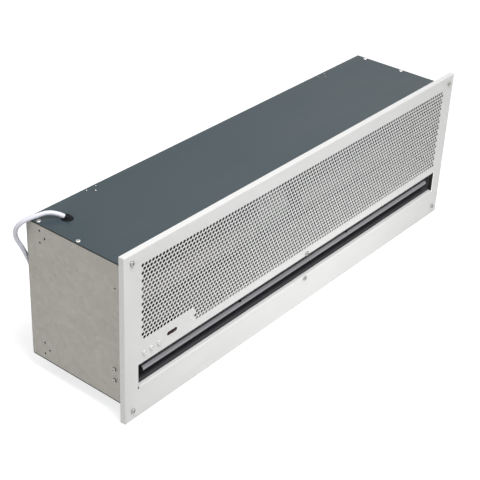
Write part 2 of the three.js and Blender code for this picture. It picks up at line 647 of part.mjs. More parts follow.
// ---- Motor --------------------------------------------------------------------------------------
function motorBody() {
  const bore = SHAFT_RADIUS + 0.5;
  const half = MOTOR_HALF_LENGTH;
  const tip = half + MOTOR_BOSS_LENGTH;
  const shoulder = half - MOTOR_SHOULDER;
  const shellRadius = MOTOR_RADIUS - MOTOR_FIN_HEIGHT;
  const faceRadius = MOTOR_RADIUS - MOTOR_SHOULDER;
  const shell = turnedX(
    [
      [bore, -tip], [MOTOR_BOSS_RADIUS, -tip], [MOTOR_BOSS_RADIUS, -half],
      [faceRadius, -half], [shellRadius, -shoulder], [shellRadius, shoulder],
      [faceRadius, half], [MOTOR_BOSS_RADIUS, half], [MOTOR_BOSS_RADIUS, tip], [bore, tip],
    ],
    20, SLOT_MIDDLE, AXIS_Y, AXIS_Z);
  const fins = Array.from({ length: MOTOR_FINS }, (_, i) => {
    const angle = (2 * Math.PI * (i + 0.5)) / MOTOR_FINS;
    const at = (radius, side) => aroundAxis(radius, angle + (side * MOTOR_FIN_SHEET) / 2 / radius);
    const root = shellRadius - MOTOR_FIN_HEIGHT;
    const outline = [at(root, 1), at(MOTOR_RADIUS, 1), at(MOTOR_RADIUS, -1), at(root, -1)];
    return prismX(outline, SLOT_MIDDLE - shoulder + 2, SLOT_MIDDLE + shoulder - 2);
  });
  return join(shell, ...fins);
}

function motorCradle() {
  // The foot lies along the duct's lower wall, and two arms rise from it to saddles.
  const [bottomY, bottomZ] = aroundAxis(SCROLL_END_RADIUS, Math.PI);
  const slope = (bottomZ - (SLOT_BOTTOM - SCROLL_LIP_DROP)) / (bottomY - DUCT_FACE_Y);
  const wallZ = (y) => bottomZ + slope * (y - bottomY) + GAP;
  const [footFront, footBack] = CRADLE_FOOT;
  const horn = RING_OUTER + CRADLE_HORN;
  const armX = MOTOR_HALF_LENGTH + MOTOR_BOSS_LENGTH / 2;
  const footOutline = [
    [footFront, wallZ(footFront)], [footBack, wallZ(footBack)],
    [footBack, wallZ(footBack) + CRADLE_SHEET], [footFront, wallZ(footFront) + CRADLE_SHEET],
  ];
  const footReach = armX + CRADLE_OVERHANG;
  const foot = prismX(footOutline, SLOT_MIDDLE - footReach, SLOT_MIDDLE + footReach);
  const saddle = Array.from({ length: 9 }, (_, i) =>
    aroundAxis(RING_OUTER + 2 * GAP, Math.PI * (0.5 + i / 8)));
  const armOutline = [
    [footFront, wallZ(footFront) + 1], [footBack, wallZ(footBack) + 1],
    [AXIS_Y + horn, AXIS_Z], ...saddle, [AXIS_Y - horn, AXIS_Z],
  ];
  const arms = [-1, 1].map((side) => {
    const x = SLOT_MIDDLE + side * armX;
    return prismX(armOutline, x - CRADLE_SHEET / 2, x + CRADLE_SHEET / 2);
  });
  return join(foot, ...arms);
}

addPiece('motor_body', motorBody(), CAST_CASING);
const motorShaft = rodProfile(SHAFT_RADIUS, -SHAFT_OVERHANG, SHAFT_OVERHANG);
addPiece('motor_shaft', turnedX(motorShaft, 16, SLOT_MIDDLE, AXIS_Y, AXIS_Z), STEEL);
[['left', -1], ['right', 1]].forEach(([name, side]) => {
  const ring = ringProfile(
    MOTOR_BOSS_RADIUS + GAP, RING_OUTER, -RING_WIDTH / 2, RING_WIDTH / 2);
  const x = SLOT_MIDDLE + side * (MOTOR_HALF_LENGTH + MOTOR_BOSS_LENGTH / 2);
  addPiece(`motor_ring_${name}`, turnedX(ring, 20, x, AXIS_Y, AXIS_Z), RUBBER);
});
addPiece('motor_cradle', motorCradle(), ZINC_SHEET);

// ---- Vane ---------------------------------------------------------------------------------------
// A bowed strip that hangs from a thin spine on the hinge line, down to a rounded rim.
function vane() {
  const [axisY, axisZ] = VANE_AXIS;
  const [rimY, rimZ] = VANE_RIM;
  const chord = new THREE.Vector2(rimY - axisY, rimZ - axisZ);
  const across = new THREE.Vector2(-chord.y, chord.x).normalize();
  const line = [0.1, 0.4, 0.7, 0.94].map((t) => {
    const out = VANE_BOW * 4 * t * (1 - t);
    return [axisY + chord.x * t - across.x * out, axisZ + chord.y * t - across.y * out];
  });
  const strip = prismX(foldedSheet(line, VANE_SHEET), VANE_LEFT, VANE_RIGHT);
  const spine = prismX(polygon(axisY, axisZ, VANE_SPINE_RADIUS, 10), VANE_LEFT, VANE_RIGHT);
  const rim = prismX(
    polygon(rimY + across.x * 0.6, rimZ + across.y * 0.6 + 1.2, VANE_RIM_RADIUS, 8),
    VANE_LEFT, VANE_RIGHT);
  const notches = VANE_HANGERS.map((x) =>
    block(x - VANE_NOTCH / 2, axisY - 20, rimZ + 5, x + VANE_NOTCH / 2, axisY + 10, axisZ + 10));
  const socketEnds = [
    [VANE_LEFT - 1, VANE_LEFT + VANE_SOCKET_DEPTH], [VANE_RIGHT - VANE_SOCKET_DEPTH, VANE_RIGHT + 1],
  ];
  const sockets = socketEnds.map(([from, to]) =>
    prismX(polygon(axisY, axisZ, VANE_PIN_RADIUS, 12), from, to));
  return cut(join(strip, spine, rim), ...notches, ...sockets);
}

function vanePin(side) {
  const hidden = VANE_SOCKET_DEPTH - 0.5;
  const inner = side < 0 ? VANE_LEFT + hidden : VANE_RIGHT - hidden;
  const outer = side < 0 ? DUCT_LEFT - 5 : DUCT_RIGHT + 5;
  return turnedX(
    rodProfile(VANE_PIN_RADIUS - GAP, Math.min(inner, outer), Math.max(inner, outer)), 12,
    0, ...VANE_AXIS);
}

function vaneBush(side) {
  const wall = side < 0 ? DUCT_LEFT : DUCT_RIGHT;
  const bore = VANE_PIN_RADIUS;
  const neck = VANE_PIN_RADIUS + BUSH_WALL;
  const collar = neck + 2;
  const from = -side * BUSH_COLLAR;
  const face = -side * GAP;
  const tail = side * (HOUSING_SHEET + 1);
  const profile = side < 0
    ? [[bore, tail], [neck, tail], [neck, face], [collar, face], [collar, from], [bore, from]]
    : [[bore, from], [collar, from], [collar, face], [neck, face], [neck, tail], [bore, tail]];
  return turnedX(profile, 12, wall, ...VANE_AXIS);
}

// A hanger drops from the tongue into a notch of the vane and steadies it there.
function vaneHanger(x) {
  const [axisY, axisZ] = VANE_AXIS;
  const under = SLOT_TOP + 14 - GAP;
  const tip = VANE_RIM[1] + HANGER_TIP_RISE;
  const front = axisY - HANGER_HALF_DEPTH;
  const back = axisY + HANGER_HALF_DEPTH;
  const outline = [
    [front, under - 1], [front, axisZ - 4], [axisY - 1, tip],
    [axisY + 2, tip], [back, axisZ - 4], [back, under - 1],
  ];
  const leg = prismX(outline, x - HANGER_SHEET / 2, x + HANGER_SHEET / 2);
  const foot = prismX(
    rectangle(front, under - HANGER_FOOT.sheet, axisY + HANGER_FOOT.back, under),
    x - HANGER_FOOT.halfLength, x + HANGER_FOOT.halfLength);
  return join(leg, foot);
}

addPiece('vane', vane(), ALUMINIUM);
addPiece('vane_pin_left', vanePin(-1), STEEL);
addPiece('vane_pin_right', vanePin(1), STEEL);
addPiece('vane_bush_left', vaneBush(-1), WHITE_PLASTIC);
addPiece('vane_bush_right', vaneBush(1), WHITE_PLASTIC);
addPiece('vane_hanger_left', vaneHanger(VANE_HANGERS[0]), ZINC_SHEET);
addPiece('vane_hanger_right', vaneHanger(VANE_HANGERS[1]), ZINC_SHEET);

// ---- Controls -----------------------------------------------------------------------------------
const CONTROL_FRONT = FRONT + PANEL_SHEET + GAP;
const BOARD_FRONT = CONTROL_FRONT + CONTROL_BOX.depth + GAP;

function controlHousing() {
  const { left, right, bottom, top, wall } = CONTROL_BOX;
  const back = CONTROL_FRONT + CONTROL_BOX.depth;
  const front = prismY(
    rectangle(left, bottom, right, top),
    CONTROL_FRONT,
    CONTROL_FRONT + wall,
    [
      ...BUTTON_X.map((x) => polygon(x, BUTTON_Z, BUTTON_RADIUS + GAP, 12)),
      obround(WINDOW_X, WINDOW_Z, WINDOW_LENGTH - 3, WINDOW_HEIGHT - 3, 4),
    ],
  );
  const walls = prismY(
    rectangle(left, bottom, right, top),
    CONTROL_FRONT,
    back,
    [rectangle(left + wall, bottom + wall, right - wall, top - wall)],
  );
  return join(front, walls);
}

function controlBoard() {
  const { left, right, bottom, top, wall } = CONTROL_BOX;
  const board = block(left, BOARD_FRONT, bottom, right, BOARD_FRONT + BOARD_SHEET, top);
  const tip = CONTROL_FRONT + wall + SWITCH_DEPTH;
  const cube = (x, z, front) => block(
    x - SWITCH_HALF_SIZE, front, z - SWITCH_HALF_SIZE,
    x + SWITCH_HALF_SIZE, BOARD_FRONT + 0.5, z + SWITCH_HALF_SIZE);
  const switches = BUTTON_X.map((x) => cube(x, BUTTON_Z, tip));
  const receiver = cube(WINDOW_X, WINDOW_Z, tip - SWITCH_HALF_SIZE);
  const socket = block(
    CONTROL_WIRE_X - SOCKET.halfWidth, BOARD_FRONT + 1, top - SOCKET.bottom,
    CONTROL_WIRE_X + SOCKET.halfWidth, BOARD_FRONT + BOARD_SHEET + SOCKET.height, top - SOCKET.top);
  return join(board, ...switches, receiver, socket);
}

function receiverWindow() {
  const lens = prismY(
    obround(WINDOW_X, WINDOW_Z, WINDOW_LENGTH, WINDOW_HEIGHT, 4),
    FRONT - WINDOW_PROUD, CONTROL_FRONT - GAP);
  const inset = 2 * WINDOW_STEM_INSET;
  const stem = prismY(
    obround(WINDOW_X, WINDOW_Z, WINDOW_LENGTH - inset, WINDOW_HEIGHT - inset, 4),
    CONTROL_FRONT - GAP - 0.2, CONTROL_FRONT + CONTROL_BOX.wall);
  return join(lens, stem);
}

// A cap slides in the housing, and its stem stops at a switch after the travel.
function button(x) {
  const head = FRONT - BUTTON_PROUD;
  const shoulder = CONTROL_FRONT + CONTROL_BOX.wall + 1;
  const stemEnd = CONTROL_FRONT + CONTROL_BOX.wall + SWITCH_DEPTH - BUTTON_TRAVEL - GAP;
  const profile = [
    [0, -stemEnd], [BUTTON_STEM_RADIUS, -stemEnd], [BUTTON_STEM_RADIUS, -shoulder],
    [BUTTON_RADIUS, -shoulder], [BUTTON_RADIUS, -head - BUTTON_CHAMFER],
    [BUTTON_RADIUS - BUTTON_CHAMFER, -head], [0, -head],
  ];
  return turnedTowardsFront(profile, 12, x, 0, BUTTON_Z);
}

addPiece('control_housing', controlHousing(), BLACK_PLASTIC);
addPiece('control_board', controlBoard(), BOARD_GREEN);
addPiece('receiver_window', receiverWindow(), SMOKED_WINDOW);
BUTTON_X.forEach((x, i) => addPiece(`button_${i + 1}`, button(x), WHITE_PLASTIC));

// ---- Wiring box ---------------------------------------------------------------------------------
const BOX_TOP = INNER_TOP;

function wiringBox() {
  const { left, right, front, back, bottom, wall } = WIRING_BOX;
  const shell = block(left, front, bottom, right, back, BOX_TOP);
  const hollow = block(
    left + wall, front + wall, bottom + wall, right - wall, back - wall, BOX_TOP + 1);
  const side = prismX(
    polygon(GLAND_Y, WIRE_LEVEL, WIRE_RADIUS + GAP, 10), right - wall - 1, right + 1);
  const frontHole = prismY(
    polygon(CONTROL_WIRE_X, WIRE_LEVEL, WIRE_RADIUS + GAP, 10), front - 1, front + wall + 1);
  return cut(shell, hollow, side, frontHole);
}

function terminalBlock() {
  const floor = WIRING_BOX.bottom + WIRING_BOX.wall + GAP;
  const { left, right, front, back, height } = TERMINAL_BASE;
  const { inset, first, pitch, length, top } = TERMINAL_TOWER;
  const base = block(left, front, floor, right, back, floor + height);
  const towers = Array.from({ length: TERMINALS }, (_, i) => {
    const y = front + first + i * pitch;
    return block(left + inset, y, floor + height - 1, right - inset, y + length, floor + top);
  });
  return join(base, ...towers);
}

function motorCapacitor() {
  const floor = WIRING_BOX.bottom + WIRING_BOX.wall + GAP;
  const { x, y, radius, length, edge } = CAPACITOR;
  const can = turnedX(
    [
      [0, 0], [radius - edge, 0], [radius, edge], [radius, length - edge], [radius - edge, length],
      [0, length],
    ],
    16, x, y, floor + radius);
  const { from, to, low, high, apart, sheet } = CAPACITOR_TAB;
  const tabs = [-1, 1].map((side) => {
    const tabY = y + (side * apart) / 2 - sheet / 2;
    return block(from, tabY, floor + low, to, tabY + sheet, floor + high);
  });
  return join(can, ...tabs);
}

addPiece('wiring_box', wiringBox(), ZINC_SHEET);
addPiece('terminal_block', terminalBlock(), WHITE_PLASTIC);
addPiece('motor_capacitor', motorCapacitor(), BLACK_PLASTIC);

// A tube along a smooth curve through the points.
function tube(points, radius, sides, steps) {
  const path = new THREE.CatmullRomCurve3(points.map((p) => new THREE.Vector3(...p)));
  const section = outlineShape(polygon(0, 0, radius, sides));
  const options = { extrudePath: path, steps, bevelEnabled: false };
  return { solid: solidOf(new THREE.ExtrudeGeometry(section, options)), path };
}

const [LEG_Y] = aroundAxis(SCROLL_START_RADIUS, SCROLL_START);
const motorWire = [
  [WIRING_BOX.right - WIRING_BOX.wall - 2, GLAND_Y, WIRE_LEVEL],
  [-300, GLAND_Y, WIRE_LEVEL],
  [-160, GLAND_Y, WIRE_LEVEL],
  [-40, GLAND_Y - 2, WIRE_LEVEL],
  [MOTOR_WIRE_X - 2, GLAND_Y - 12, WIRE_LEVEL],
  [MOTOR_WIRE_X, GLAND_Y - 30, WIRE_LEVEL],
  [MOTOR_WIRE_X, LEG_Y + 12, WIRE_LEVEL],
  [MOTOR_WIRE_X, LEG_Y - 5, WIRE_LEVEL],
  [MOTOR_WIRE_X, LEG_Y - 15, WIRE_LEVEL - 8],
  [MOTOR_WIRE_X, LEG_Y - 17, WIRE_LEVEL - 24],
  [MOTOR_WIRE_X, LEG_Y - 14, 232],
  [MOTOR_WIRE_X, LEG_Y - 12, AXIS_Z + MOTOR_RADIUS - 2],
];
const controlWire = [
  [CONTROL_WIRE_X, WIRING_BOX.front + WIRING_BOX.wall + 2, WIRE_LEVEL],
  [CONTROL_WIRE_X, LEG_Y, WIRE_LEVEL],
  [CONTROL_WIRE_X, LEG_Y - 35, WIRE_LEVEL],
  [CONTROL_WIRE_X, -66, WIRE_LEVEL],
  [CONTROL_WIRE_X, -80, WIRE_LEVEL - 8],
  [CONTROL_WIRE_X, -83, WIRE_LEVEL - 28],
  [CONTROL_WIRE_X, -82, 200],
  [CONTROL_WIRE_X, -76, 165],
  [CONTROL_WIRE_X, -75, 152],
  [CONTROL_WIRE_X, -78, 143],
  [CONTROL_WIRE_X, -84, 140.3],
  [CONTROL_WIRE_X, BOARD_FRONT + BOARD_SHEET + SOCKET.height + 2 * GAP, 140],
];
addPiece('motor_cable', tube(motorWire, WIRE_RADIUS, 8, 26).solid, BLACK_PLASTIC);
addPiece('control_cable', tube(controlWire, WIRE_RADIUS - 0.5, 8, 20).solid, BLACK_PLASTIC);

// ---- Supply lead --------------------------------------------------------------------------------
// The lead leaves the gland at a slant, arches low over the back left corner, runs down the back
// and along the floor, and is wound into a coil close behind the unit.
const LEAD_DIRECTION = new THREE.Vector3(
  GLAND_HEADING.x * Math.cos(GLAND_TILT), GLAND_HEADING.y * Math.cos(GLAND_TILT),
  Math.sin(GLAND_TILT));
const GLAND_PIVOT = new THREE.Vector3(GLAND_X, GLAND_Y, HOUSING_TOP + GLAND_RISE);
const LEAD_START = GLAND_PIVOT.clone().addScaledVector(LEAD_DIRECTION, GLAND_REACH + GAP);
const COIL_START_RADIUS = COIL_INNER_RADIUS + (COIL_SPACING * COIL_TURNS) / 2;
const COIL_LEVEL = COIL_LIFT + CORD_RADIUS;

const leadRoute = [
  LEAD_START.toArray(),
  LEAD_START.clone().addScaledVector(LEAD_DIRECTION, 3).toArray(),
  [-437.2, 74.99, 304.37],
  [-444.89, 83.05, 306.59],
  [-452.9, 89.05, 306.67],
  [-461.65, 93.91, 305.16],
  [-471.83, 100.54, 302.21],
  [-479.79, 108.08, 296.93],
  [-484.5, 114.88, 289.89],
  [-486.51, 121.06, 280.74],
  [-485.53, 126.16, 268.58],
  [-480.47, 128.34, 253.12],
  [-473.08, 126.97, 237.4],
  [-466.5, 124.9, 220],
  [-459, 121.7, 196],
  [-452, 119.6, 164],
  [-446, 119, 128],
  [-441.2, 119.6, 92],
  [-435.8, 121.3, 63],
  [-427, 123.8, 39],
  [-412, 127, 19],
  [-390, 130.7, 7.8],
  [-362, 134.2, COIL_LEVEL],
  [-328, 136.8, COIL_LEVEL],
  [-290, 138.2, COIL_LEVEL],
  [COIL_X - 2 * CORD_RADIUS - GAP, COIL_Y - COIL_START_RADIUS, COIL_LEVEL],
];

function cableGland() {
  const { radius, height, edge } = GLAND_COLLAR;
  const collar = turnedZ(
    [[0, 0], [radius, 0], [radius, height - edge], [radius - 1, height], [0, height]],
    20, GLAND_X, GLAND_Y, HOUSING_TOP + GAP);
  const underSheet = INNER_TOP - HOUSING_SHEET;
  const neck = prismZ(
    polygon(GLAND_X, GLAND_Y, GLAND_NECK, 16), underSheet - GLAND_NUT.height - 3, HOUSING_TOP + 1);
  const nut = prismZ(
    polygon(GLAND_X, GLAND_Y, GLAND_NUT.radius, 6), underSheet - GLAND_NUT.height, underSheet);
  const [foot, tip] = GLAND_SPOUT;
  const tilt = new THREE.Quaternion().setFromUnitVectors(Y, LEAD_DIRECTION);
  const slanted = (profile) =>
    solidOf(turned(profile, 16).applyQuaternion(tilt).translate(...GLAND_PIVOT.toArray()));
  const spout = slanted([[0, -2], [foot, -2], [tip, GLAND_REACH], [0, GLAND_REACH]]);
  const channel = slanted(rodProfile(CORD_RADIUS + GAP, GLAND_REACH, 3 * radius));
  const around = 2 * radius;
  const belowSheet = block(
    GLAND_X - around, GLAND_Y - around, HOUSING_TOP - around,
    GLAND_X + around, GLAND_Y + around, HOUSING_TOP + GAP);
  return cut(join(collar, neck, nut, cut(spout, belowSheet)), channel);
}

// Two layers: the turns spiral in on the lower one and out on the upper one.
function coilPoint(turn) {
  const half = COIL_TURNS / 2;
  const radius = COIL_INNER_RADIUS + COIL_SPACING * Math.hypot(turn - half, 0.05);
  const climb = THREE.MathUtils.smoothstep(turn, half - 0.25, half + 0.25);
  const angle = 2 * Math.PI * turn - Math.PI / 2;
  return new THREE.Vector3(
    COIL_X + radius * Math.cos(angle), COIL_Y + radius * Math.sin(angle),
    COIL_LEVEL + COIL_LAYER * climb);
}

function coilRoute() {
  const count = COIL_TURNS * COIL_STEPS;
  const turns = Array.from({ length: count + 1 }, (_, i) => coilPoint(i / COIL_STEPS));
  const straight = new THREE.Vector3(2 * CORD_RADIUS, 0, 0);
  return [turns[0].clone().sub(straight), ...turns, turns[count].clone().add(straight)];
}

function leastSelfGap(points, apart) {
  let least = Infinity;
  points.forEach((p, i) => {
    for (let j = i + apart; j < points.length; j += 1) {
      least = Math.min(least, p.distanceTo(points[j]));
    }
  });
  return least - 2 * CORD_RADIUS;
}

// One closed tube whose rings stand upright across a route that is nearly level.
function levelTube(route, radius, sides) {
  const positions = [];
  const index = [];
  const up = new THREE.Vector3(0, 0, 1);
  route.forEach((point, i) => {
    const before = route[Math.max(i - 1, 0)];
    const after = route[Math.min(i + 1, route.length - 1)];
    const along = after.clone().sub(before).normalize();
    const across = new THREE.Vector3().crossVectors(along, up).normalize();
    const over = new THREE.Vector3().crossVectors(across, along);
    for (let side = 0; side < sides; side += 1) {
      const angle = (2 * Math.PI * side) / sides;
      const rim = point.clone()
        .addScaledVector(across, radius * Math.cos(angle))
        .addScaledVector(over, radius * Math.sin(angle));
      positions.push(...rim.toArray());
    }
  });
  const corner = (ring, side) => ring * sides + (side % sides);
  for (let ring = 0; ring + 1 < route.length; ring += 1) {
    for (let side = 0; side < sides; side += 1) {
      index.push(corner(ring, side), corner(ring + 1, side + 1), corner(ring, side + 1));
      index.push(corner(ring, side), corner(ring + 1, side), corner(ring + 1, side + 1));
    }
  }
  const last = route.length - 1;
  for (let side = 1; side + 1 < sides; side += 1) {
    index.push(corner(0, 0), corner(0, side), corner(0, side + 1));
    index.push(corner(last, 0), corner(last, side + 1), corner(last, side));
  }
  const geometry = new THREE.BufferGeometry();
  geometry.setAttribute('position', new THREE.Float32BufferAttribute(positions, 3));
  geometry.setIndex(index);
  return geometry;
}

// A band of sheet round both layers, across the coil's right side.
function coilTie() {
  const inner = COIL_X + COIL_INNER_RADIUS - CORD_RADIUS - TIE_SLACK;
  const outer = COIL_X + COIL_START_RADIUS + CORD_RADIUS + TIE_SLACK;
  const top = COIL_LEVEL + COIL_LAYER + CORD_RADIUS + TIE_SLACK;
  const section = rectangle(inner - TIE_BAND, 0, outer + TIE_BAND, top + TIE_BAND);
  const bore = rectangle(inner, COIL_LIFT - GAP, outer, top);
  return prismY(section, COIL_Y - TIE_HALF_WIDTH, COIL_Y + TIE_HALF_WIDTH, [bore]);
}

// A moulded two-pin plug that lies on the floor beside the coil.
function plug() {
  const start = COIL_X + 2 * CORD_RADIUS + GAP;
  const level = COIL_LEVEL + COIL_LAYER;
  const y = COIL_Y - COIL_START_RADIUS;
  const relief = turnedX(PLUG_RELIEF, 16, start, y, level);
  const nearEdge = PLUG_GRIP.map(([along, half]) => [start + along, y - half]);
  const farEdge = PLUG_GRIP.map(([along, half]) => [start + along, y + half]);
  const body = prismZ([...nearEdge, ...farEdge.reverse()], 0, 2 * level);
  const { radius, length, tip, root, apart } = PLUG_PIN;
  const face = start + PLUG_GRIP.at(-1)[0];
  const pinProfile = [
    [0, -root], [radius, -root], [radius, length - tip], [radius - 0.8, length], [0, length],
  ];
  const pins = [-1, 1].map((side) =>
    turnedX(pinProfile, 10, face, y + (side * apart) / 2, level));
  return join(relief, body, ...pins);
}

const lead = tube(leadRoute, CORD_RADIUS, 8, 56);
const coil = coilRoute();
const coilLength = coil.reduce((sum, p, i) => (i ? sum + p.distanceTo(coil[i - 1]) : 0), 0);
console.log(`coil's least gap to itself ${leastSelfGap(coil, COIL_STEPS / 2).toFixed(2)} mm`);
console.log(`lead ${lead.path.getLength().toFixed(0)} mm, coil ${coilLength.toFixed(0)} mm`);

addPiece('cable_gland', cableGland(), BLACK_PLASTIC);
addPiece('cord_lead', lead.solid, WHITE_PLASTIC);
addPiece('cord_coil', solidOf(levelTube(coil, CORD_RADIUS, COIL_SIDES)), WHITE_PLASTIC);
addPiece('coil_tie', coilTie(), BLACK_PLASTIC);
addPiece('plug', plug(), WHITE_PLASTIC);

export default unit;
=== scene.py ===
import json
import math

import bmesh
import bpy
from mathutils import Matrix, Vector


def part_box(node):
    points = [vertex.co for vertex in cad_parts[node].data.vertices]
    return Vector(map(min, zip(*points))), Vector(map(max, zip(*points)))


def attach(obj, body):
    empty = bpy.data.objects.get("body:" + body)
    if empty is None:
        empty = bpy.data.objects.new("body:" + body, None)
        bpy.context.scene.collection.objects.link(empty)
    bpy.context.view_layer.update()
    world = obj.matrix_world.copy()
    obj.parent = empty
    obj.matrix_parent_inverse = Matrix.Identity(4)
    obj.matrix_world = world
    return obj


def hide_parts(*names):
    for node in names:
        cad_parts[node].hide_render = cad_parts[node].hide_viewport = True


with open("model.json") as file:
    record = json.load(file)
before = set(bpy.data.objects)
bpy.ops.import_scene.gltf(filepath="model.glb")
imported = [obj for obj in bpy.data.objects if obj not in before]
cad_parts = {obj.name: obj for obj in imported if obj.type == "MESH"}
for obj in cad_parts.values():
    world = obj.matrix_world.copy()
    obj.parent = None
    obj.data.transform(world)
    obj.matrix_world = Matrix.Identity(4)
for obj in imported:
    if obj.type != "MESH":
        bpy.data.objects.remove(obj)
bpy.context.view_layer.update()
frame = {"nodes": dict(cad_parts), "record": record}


def add_object(name, data):
    """Puts a mesh, curve, camera or lamp in the scene."""
    thing = bpy.data.objects.new(name, data)
    bpy.context.scene.collection.objects.link(thing)
    return thing


# ---- Camera ----
CAMERA_PLACE = (-1.58344, -1.18699, 1.29371)
CAMERA_AZIMUTH = math.radians(-52.181)
CAMERA_ELEVATION = math.radians(31.316)
CAMERA_ROLL = math.radians(2.774)
CAMERA_LENS = 90.90
CAMERA_SENSOR = 36.0


def make_camera():
    data = bpy.data.cameras.new("camera")
    data.lens = CAMERA_LENS
    data.sensor_width = CAMERA_SENSOR
    data.clip_end = 60
    camera = add_object("camera", data)
    turn = Matrix.Rotation(CAMERA_AZIMUTH, 4, "Z")
    tilt = Matrix.Rotation(math.pi / 2 - CAMERA_ELEVATION, 4, "X")
    roll = Matrix.Rotation(CAMERA_ROLL, 4, "Z")
    camera.matrix_world = Matrix.Translation(CAMERA_PLACE) @ turn @ tilt @ roll
    bpy.context.scene.camera = camera


make_camera()


# ---- Materials ----
def linear(code):
    """A colour of the shaders from its sRGB hex value."""
    channels = [int(code[i:i + 2], 16) / 255 for i in (0, 2, 4)]
    return [c / 12.92 if c <= 0.04045 else ((c + 0.055) / 1.055) ** 2.4 for c in channels] + [1.0]


def add_node(tree, kind, inputs=(), **settings):
    """Adds a node; inputs maps a socket's name or number to a value or to another node's socket."""
    node = tree.nodes.new(kind)
    for name, value in settings.items():
        setattr(node, name, value)
    for name, value in dict(inputs).items():
        if isinstance(value, bpy.types.NodeSocket):
            tree.links.new(value, node.inputs[name])
        else:
            node.inputs[name].default_value = value
    return node


def per_metre(millimetres):
    """A noise texture's scale for features of about this size."""
    return 1000 / millimetres


def new_material(name, **values):
    """A material with a Principled shader whose uniform values stand on its own sockets. It comes
    with its node tree and the place on the object that its patterns are drawn from."""
    material = bpy.data.materials.new(name)
    material.use_nodes = True
    tree = material.node_tree
    shader = tree.nodes["Principled BSDF"]
    for socket, value in values.items():
        shader.inputs[socket.replace("_", " ")].default_value = value
    return material, tree, add_node(tree, "ShaderNodeTexCoord").outputs["Object"]


def patterned(material, **outputs):
    """Lets patterns feed the shader's sockets of these names."""
    tree = material.node_tree
    for socket, output in outputs.items():
        tree.links.new(output, tree.nodes["Principled BSDF"].inputs[socket.replace("_", " ")])
    return material


def powder_coat():
    """Epoxy-polyester powder on steel, baked: a white satin with a fine orange peel.
    The peel's real 1.5 mm cells would not show, so they are drawn at 4 mm."""
    material, tree, place = new_material("satin_white_powder_coat", Specular_IOR_Level=0.5)
    tone = add_node(tree, "ShaderNodeTexNoise", {
        "Vector": place, "Scale": per_metre(160), "Detail": 3.0}).outputs["Fac"]
    colour = add_node(tree, "ShaderNodeMix", {
        0: tone, 6: linear("DCDCDB"), 7: linear("E5E5E4")}, data_type="RGBA").outputs[2]
    peel = add_node(tree, "ShaderNodeTexNoise", {
        "Vector": place, "Scale": per_metre(4), "Detail": 1.0}).outputs["Fac"]
    gloss = add_node(tree, "ShaderNodeMapRange", {
        "Value": peel, "To Min": 0.36, "To Max": 0.48}).outputs["Result"]
    bump = add_node(tree, "ShaderNodeBump", {
        "Height": peel, "Distance": 0.00003}).outputs["Normal"]
    return patterned(material, Base_Color=colour, Roughness=gloss, Normal=bump)


def coil_coated_sheet():
    """Coil-coated steel: slate polyester paint rolled on flat, so it is smooth, semi-gloss, and
    clouded only by a little handling."""
    material, tree, place = new_material("slate_coil_coated_steel", Specular_IOR_Level=0.22)
    drawn_out = add_node(tree, "ShaderNodeMapping", {
        "Vector": place, "Scale": (0.3, 1, 1)}).outputs["Vector"]
    tone = add_node(tree, "ShaderNodeTexNoise", {
        "Vector": place, "Scale": per_metre(220), "Detail": 4.0, "Roughness": 0.55}).outputs["Fac"]
    colour = add_node(tree, "ShaderNodeMix", {
        0: tone, 6: linear("344246"), 7: linear("3C4951")}, data_type="RGBA").outputs[2]
    smear = add_node(tree, "ShaderNodeTexNoise", {
        "Vector": drawn_out, "Scale": per_metre(40), "Detail": 3.0}).outputs["Fac"]
    gloss = add_node(tree, "ShaderNodeMapRange", {
        "Value": smear, "To Min": 0.30, "To Max": 0.42}).outputs["Result"]
    bump = add_node(tree, "ShaderNodeBump", {
        "Height": tone, "Distance": 0.0002, "Strength": 0.4}).outputs["Normal"]
    return patterned(material, Base_Color=colour, Roughness=gloss, Normal=bump)


def galvanised_sheet():
    """Hot-dip galvanised steel: zinc crystals about 9 mm across, skin-passed so that they show
    only as faint patches of tone, and a warm grey bloom."""
    material, tree, place = new_material("galvanised_steel_sheet", Metallic=0.75)
    crystals = add_node(tree, "ShaderNodeTexVoronoi", {"Vector": place, "Scale": per_metre(9)})
    crystal = add_node(tree, "ShaderNodeSeparateColor", {"Color": crystals.outputs["Color"]})
    bloom = add_node(tree, "ShaderNodeTexNoise", {
        "Vector": place, "Scale": per_metre(70), "Detail": 4.0, "Roughness": 0.6}).outputs["Fac"]
    facet = add_node(tree, "ShaderNodeMapRange", {
        "Value": crystal.outputs["Red"], "To Min": -0.2, "To Max": 0.2}).outputs["Result"]
    tone = add_node(tree, "ShaderNodeMath", {0: facet, 1: bloom}, operation="ADD").outputs[0]
    colour = add_node(tree, "ShaderNodeMix", {
        0: tone, 6: linear("949189"), 7: linear("A29F99")}, data_type="RGBA").outputs[2]
    gloss = add_node(tree, "ShaderNodeMapRange", {
        "Value": crystal.outputs["Green"], "To Min": 0.42, "To Max": 0.52}).outputs["Result"]
    return patterned(material, Base_Color=colour, Roughness=gloss)


def dark_duct_paint():
    """Matt dark grey stoving paint on the duct's sheet; a light dust lies on it."""
    material, tree, place = new_material("dark_grey_stoving_paint")
    dust = add_node(tree, "ShaderNodeTexNoise", {
        "Vector": place, "Scale": per_metre(30), "Detail": 4.0, "Roughness": 0.6}).outputs["Fac"]
    colour = add_node(tree, "ShaderNodeMix", {
        0: dust, 6: linear("4E4E52"), 7: linear("606064")}, data_type="RGBA").outputs[2]
    gloss = add_node(tree, "ShaderNodeMapRange", {
        "Value": dust, "To Min": 0.5, "To Max": 0.65}).outputs["Result"]
    return patterned(material, Base_Color=colour, Roughness=gloss)


